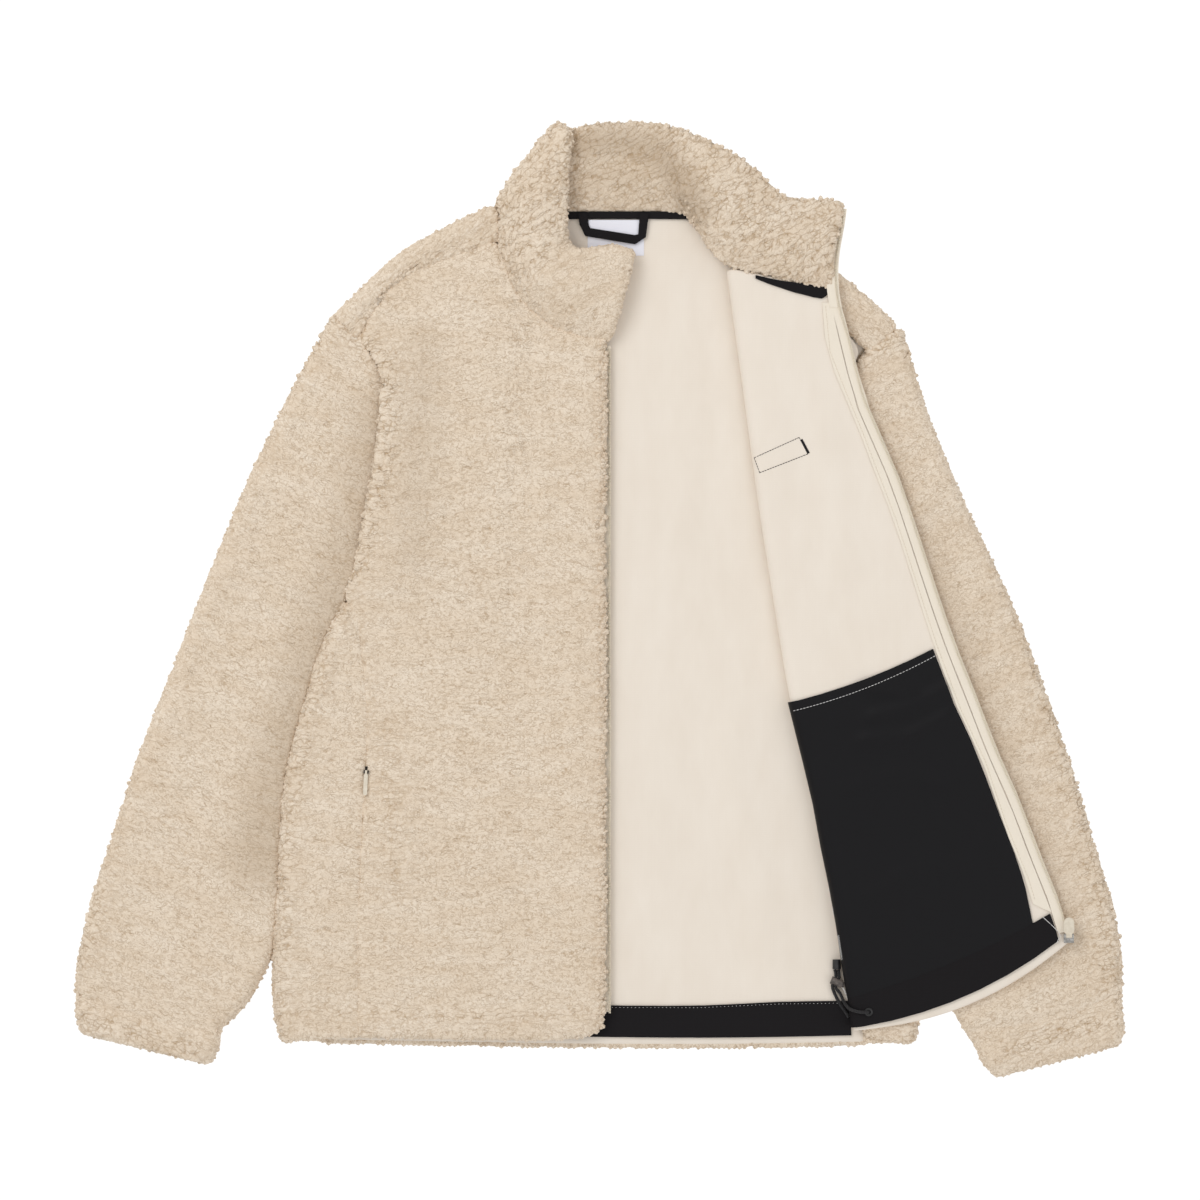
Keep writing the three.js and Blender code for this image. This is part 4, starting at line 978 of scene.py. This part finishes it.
def modelled_rod(sides, radius, length, tip):
    """A short rod along X with drawn-in ends, to be copied many times."""
    deselect()
    bpy.ops.mesh.primitive_cylinder_add(vertices=sides, radius=radius, depth=length,
                                        rotation=(0, math.pi / 2, 0))
    rod = bpy.context.object
    bpy.ops.object.transform_apply(location=False, rotation=True, scale=False)
    for side in (1, -1):
        edit_faces(rod, lambda face: face.normal.x * side > 0.9)
        bpy.ops.mesh.extrude_region_move(TRANSFORM_OT_translate={"value": (side * tip, 0, 0)})
        bpy.ops.transform.resize(value=(1, 0.55, 0.55))
        bpy.ops.object.mode_set(mode="OBJECT")
    return mesh_of(rod)


def stamped(name, model, places, finish):
    """Copies of one small mesh, each in its own place, as one piece."""
    points = [vertex.co.copy() for vertex in model.vertices]
    faces = [tuple(polygon.vertices) for polygon in model.polygons]
    corners, sides = [], []
    for place in places:
        first = len(corners)
        corners.extend(place @ p for p in points)
        sides.extend(tuple(k + first for k in face) for face in faces)
    mesh = bpy.data.meshes.new(name)
    mesh.from_pydata(corners, [], sides)
    mesh.materials.append(finish)
    mesh.polygons.foreach_set("use_smooth", [True] * len(mesh.polygons))
    return new_piece(name, mesh)


def evenly(line, pitch, first):
    """Places a pitch apart along a line, each with the line's direction."""
    places, left = [], first
    for a, b in zip(line, line[1:]):
        span = (b - a).length
        while left <= span:
            places.append((a.lerp(b, left / span), (b - a).normalized()))
            left += pitch
        left -= span
    return places


def frame_at(place, along, up=Vector((0, 0, 1)), stretch=(1, 1, 1)):
    """A place whose X runs along a direction."""
    x = along.normalized()
    y = up.cross(x).normalized()
    z = x.cross(y)
    turned = Matrix((x, y, z)).transposed().to_4x4()
    return Matrix.Translation(place) @ turned @ Matrix.Diagonal((*stretch, 1))


TOOTH_PITCH, TOOTH_WIDE, TOOTH_HIGH = 1.3, 1.9, 1.2
COIL_OFFSET, COIL_MIDDLE = 1.9, 24.5  # from the zip's line to the teeth, and their middle's height
RIGHT_OFFSET, RIGHT_MIDDLE = 0.2, 10.3  # the same for the half under the closed front
RIGHT_COIL = [(8.3, 214, 0), (8.5, 100, 0), (8.2, 0, 0), (8.6, -120, 0), (8.3, -240, 0), (8.5, -351, 0)]

tooth = modelled_rod(4, 0.5, TOOTH_WIDE - 0.7, 0.35)


def teeth(name, line, offset, middle):
    places = []
    for place, along in evenly(spline_points([Vector(p) for p in line], 6), TOOTH_PITCH, 0.6):
        across = Vector((along.y, -along.x, 0)).normalized()
        centre = place + across * offset
        if line is ZIP_LINE:
            centre.x += zip_drawn_in(centre)
        mesh_place = at(centre.x, centre.y, middle + place.z)
        places.append(frame_at(mesh_place, across, stretch=(MM, MM, TOOTH_HIGH * MM)))
    return stamped(name, tooth, places, COIL)


stands_for(teeth("zip_teeth_left", ZIP_LINE, COIL_OFFSET, COIL_MIDDLE), "zip_coil_left", "coil")
ridden(teeth("zip_teeth_right", RIGHT_COIL, RIGHT_OFFSET, RIGHT_MIDDLE + TAPE_LIFT), "coil")

COLLAR_TAPE = (-8.0, 2.2, 0.8)  # inner and outer edge from the teeth's middle, and thickness
COLLAR_TAPE_END = 246


def collar_tape():
    """The zip's tape where it runs up the collar's end: a thin strip under the teeth."""
    inner, outer, thickness = COLLAR_TAPE
    line = [p for p in spline_points([Vector(p) for p in ZIP_LINE], 4) if p.y > COLLAR_TAPE_END]
    shape = bmesh.new()
    rows = []
    for place in line:
        centre = place.x - COIL_OFFSET + zip_drawn_in(place)
        top = COIL_MIDDLE + place.z - TOOTH_HIGH / 2
        corners = ((inner, top - thickness), (outer, top - thickness), (outer, top), (inner, top))
        rows.append([shape.verts.new(at(centre + x, place.y, z)) for x, z in corners])
    for a, b in zip(rows, rows[1:]):
        for k in range(4):
            shape.faces.new((a[k], b[k], b[(k + 1) % 4], a[(k + 1) % 4]))
    shape.faces.new(rows[0])
    shape.faces.new(rows[-1][::-1])
    bmesh.ops.recalc_face_normals(shape, faces=shape.faces)
    mesh = bpy.data.meshes.new("collar_zip_cloth")
    shape.to_mesh(mesh)
    shape.free()
    mesh.materials.append(TAPE)
    ridden(new_piece("collar_zip_cloth", mesh), "tape")


collar_tape()
thread = modelled_rod(6, 0.5, 0.7, 0.15)


def height_over(pieces):
    trees = []
    for piece in pieces:
        corners = [v.co for v in piece.data.vertices]
        trees.append(BVHTree.FromPolygons(corners, [tuple(p.vertices) for p in piece.data.polygons]))

    def height(place):
        hits = [tree.ray_cast(Vector((place.x, place.y, 0.1)), Vector((0, 0, -1)))[0] for tree in trees]
        return max((hit.z for hit in hits if hit), default=0.0)
    return height


def laid_between(start, end, long, thick):
    """The place of one length of thread."""
    return frame_at((start + end) / 2, end - start, stretch=(long, thick * MM, thick * MM))


def stitches(name, line, length, gap, thick, finish, slot_name, over, turned=0.0):
    """A row of stitches along a line of the pattern, lying on what is under it."""
    places = []
    for place, along in evenly([Vector((x, y, 0)) for x, y in line], length + gap, length / 2):
        direction = Matrix.Rotation(math.radians(turned), 3, "Z") @ along
        ends = [at(*(place + direction * (side * length / 2)).xy) for side in (-1, 1)]
        for end in ends:
            end.z = over(end) + thick * 0.3 * MM
        places.append(laid_between(*ends, length * MM, thick))
    ridden(stamped(name, thread, places, finish), slot_name)


def bowed(start, end, bow, steps=16):
    """Points of a line that hangs by a bow in its middle."""
    a, b = Vector(start), Vector(end)
    side = Vector((b.y - a.y, a.x - b.x)).normalized()
    shares = [k / steps for k in range(steps + 1)]
    return [tuple(a.lerp(b, t) + side * (bow * 4 * t * (1 - t))) for t in shares]


over_bag = height_over([trims["pocket_bag"], cloth_pieces["front_left"]])
over_front = height_over([cloth_pieces["front_left"], trims["zip_facing"]])
over_back = height_over([trims["back_hem_facing"], cloth_pieces["back"]])
BAG_HEM = bowed((164, -94.2), (284, -47.6), 4.2)
BACK_HEM = [(10, -346.6), (86, -346.8), (154, -343.6), (210, -343)]
FACING_SEAM = [
    (191.4, 250), (195.2, 211), (204.6, 186.6), (223.2, 141.8), (236.6, 106.6), (251.2, 68.8),
    (286.2, -39), (306, -92), (327.2, -137.2), (345.6, -192), (363.2, -235.2), (369, -254)]
PATCH = [(130.9, 120.7), (169, 138), (176.5, 124), (135.5, 108)]
PATCH_BAR = [(170.4, 137.2), (177, 124.6)]
# Each row's name and line, then a stitch's length, gap and thickness, its thread and slot, what it
# lies on, and how far it is turned.
stitches("bag_hem_stitches", BAG_HEM, 2.0, 0.9, 0.5, WHITE_THREAD, "label", over_bag)
stitches("back_hem_stitches", BACK_HEM, 0.7, 2.6, 0.35, WHITE_THREAD, "label", over_back)
stitches("zip_facing_stitches", FACING_SEAM, 2.2, 0.8, 0.4, CREAM_THREAD, "tape", over_front)
for k, side in enumerate(zip(PATCH, PATCH[1:] + PATCH[:1])):
    stitches(f"patch_stitches_{k}", side, 2.0, 0.35, 0.5, BLACK_THREAD, "black_cloth", over_front)
stitches("patch_bar", PATCH_BAR, 2.3, -1.8, 0.5, BLACK_THREAD, "black_cloth", over_front, 84)


def loose_thread(name, line, thick, lift):
    """An end of white thread, as long stitches that meet."""
    ends = [at(x, y, lift) for x, y in line]
    places = [laid_between(a, b, (b - a).length, thick) for a, b in zip(ends, ends[1:])]
    ridden(stamped(name, thread, places, WHITE_THREAD), "label")


FRONT_HEM_TOP = 24.6  # the level of the turned front's hem
LONG_END = [(375.7, -269), (382.6, -275.2), (389.3, -281.9), (391, -286)]
SHORT_END = [(390, -285.6), (387.4, -291.6)]
ZIGZAG = [(206.2, -329.4), (208.2, -332.6), (208.4, -334), (210.2, -335.4), (209.8, -337.6), (212, -340)]
OVERLOCK = [(202.3 + 0.17 * k + 0.8 * (-1) ** k, -284.8 - 1.1 * k) for k in range(20)]
loose_thread("thread_end_long", LONG_END, 0.55, FRONT_HEM_TOP)
loose_thread("thread_end_short", SHORT_END, 0.5, FRONT_HEM_TOP)
loose_thread("overlock_end_low", ZIGZAG, 0.8, 15.2)
loose_thread("overlock_end_high", OVERLOCK, 0.4, 19.5)


# ---------------------------------------------------------------- tufts along the edges of the pile
def modelled_tuft():
    """A clump of curls: a faceted bud drawn out to one side."""
    deselect()
    bpy.ops.mesh.primitive_ico_sphere_add(subdivisions=1, radius=1.0)
    bud = bpy.context.object
    edit_faces(bud, lambda face: face.calc_center_median().z > 0.5)
    bpy.ops.transform.resize(value=(0.7, 0.9, 1))
    bpy.ops.transform.translate(value=(0.25, 0.1, 0.2))
    bpy.ops.object.mode_set(mode="OBJECT")
    return mesh_of(bud)


tuft = modelled_tuft()
# Tufts: the least distance between them, and their smallest and largest size.
RIM_TUFTS = (4.1, 1.4, 2.6)
ZIP_TUFTS = (3.4, 2.0, 3.4)
TUFT_SUNK, TUFT_LEAN = 0.58, 0.35
AROUND = list(itertools.product((-1, 0, 1), repeat=3))
dice = random.Random(41)


def edge_tufts(name, piece, turn, wanted, apart, small, large):
    """Clumps on the pile at the points that the wanted rule holds for."""
    mesh = piece.data
    pile = {k for polygon in mesh.polygons if polygon.material_index == PILE_SLOT
            for k in polygon.vertices}
    points = [v for v in mesh.vertices if v.index in pile and wanted(v)]
    dice.shuffle(points)
    taken, places = {}, []
    for v in points:
        p = v.co / MM
        x, y, z = cell = tuple(int(c // apart) for c in p)
        near = (taken.get((x + i, y + j, z + k)) for i, j, k in AROUND)
        if any(q is not None and (q - p).length < apart for q in near):
            continue
        taken[cell] = p
        size = dice.uniform(small, large) * MM
        lean = Vector([dice.uniform(-TUFT_LEAN, TUFT_LEAN) for _ in range(3)])
        out = (v.normal + lean).normalized()
        stretch = [size * dice.uniform(*ends) for ends in ((0.9, 1.8), (0.8, 1.2), (0.8, 1.1))]
        place = v.co - v.normal * (size * TUFT_SUNK)
        place.z = max(place.z, 1.2 * size + PRESSED * MM)
        places.append(frame_at(place, out.orthogonal(), out, stretch))
    piece = stamped(f"tufts_{name}", tuft, places, PILE)
    back = Matrix.Rotation(-math.radians(turn), 3, "Z")
    places = []
    for vertex in piece.data.vertices:
        places.extend(back @ (vertex.co / MM - SHIFT))
    plain = [0.0] * len(piece.data.vertices)
    store_pile(piece, places, plain, plain, [1.0] * len(plain))
    return ridden(piece, "pile")


def on_rim(v):
    return abs(v.normal.z) < 0.3 and v.co.z > 0.003


def on_front_edge(v):
    return v.co.x > -0.004 and v.normal.x > 0.15 and v.co.z > 0.014


tufts = {}
for node_name, (_, _, turn, _, _) in CLOTH.items():
    tufts[node_name] = [edge_tufts(node_name, cloth_pieces[node_name], turn, on_rim, *RIM_TUFTS)]
tufts["front_right"].append(
    edge_tufts("zip_edge", cloth_pieces["front_right"], 0, on_front_edge, *ZIP_TUFTS))


# ---------------------------------------------------------------- hard parts and cords, their finishes
FINISHES = {
    "zip_slider": NICKEL, "pocket_slider": OLD_NICKEL, "zip_pull_tab": PULL, "pocket_pull": PULL,
    "eyelet": BLACK_METAL, "cord_lock": HORN, "cord_lock_button": HORN, "cord_end": BLACK_PLASTIC}
for node_name, finish in FINISHES.items():
    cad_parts[node_name].material_slots[0].material = finish
for piece in cords.values():
    piece.data.materials.append(ELASTIC)


# ---------------------------------------------------------------- floor and light
# Each light's name, its place and size in metres, and its power in watts.
LIGHTS = [("key", (-1.6, 1.5, 2.6), 1.8, 34), ("fill", (1.9, -1.2, 2.8), 2.4, 14)]
FLOOR_SIZE, FLOOR_LEVEL, FLOOR_GLOW = 14, -0.0004, 0.97
SKY = 0.72


def studio():
    bpy.ops.mesh.primitive_plane_add(size=FLOOR_SIZE, location=(0, 0, FLOOR_LEVEL))
    floor = bpy.context.object
    floor.name = "floor"
    made, tree, shader = material("white floor")
    feed(tree, shader, {
        "Base Color": (0.1, 0.1, 0.1, 1), "Emission Color": (1, 1, 1, 1),
        "Emission Strength": FLOOR_GLOW, "Roughness": 0.9, "Specular IOR Level": 0.1})
    floor.data.materials.append(made)

    world = bpy.data.worlds.new("soft white")
    world.use_nodes = True
    tree = world.node_tree
    feed(tree, tree.nodes["Background"], {"Color": (1, 1, 1, 1), "Strength": SKY})
    bpy.context.scene.world = world

    for name, place, size, power in LIGHTS:
        light = bpy.data.lights.new(name, "AREA")
        light.size = size
        light.energy = power
        lamp = new_piece(name, light)
        lamp.location = place
        lamp.rotation_euler = (-Vector(place)).to_track_quat("-Z", "Y").to_euler()
    bpy.context.scene.view_settings.view_transform = "Standard"
    bpy.context.scene.view_settings.look = "None"


studio()
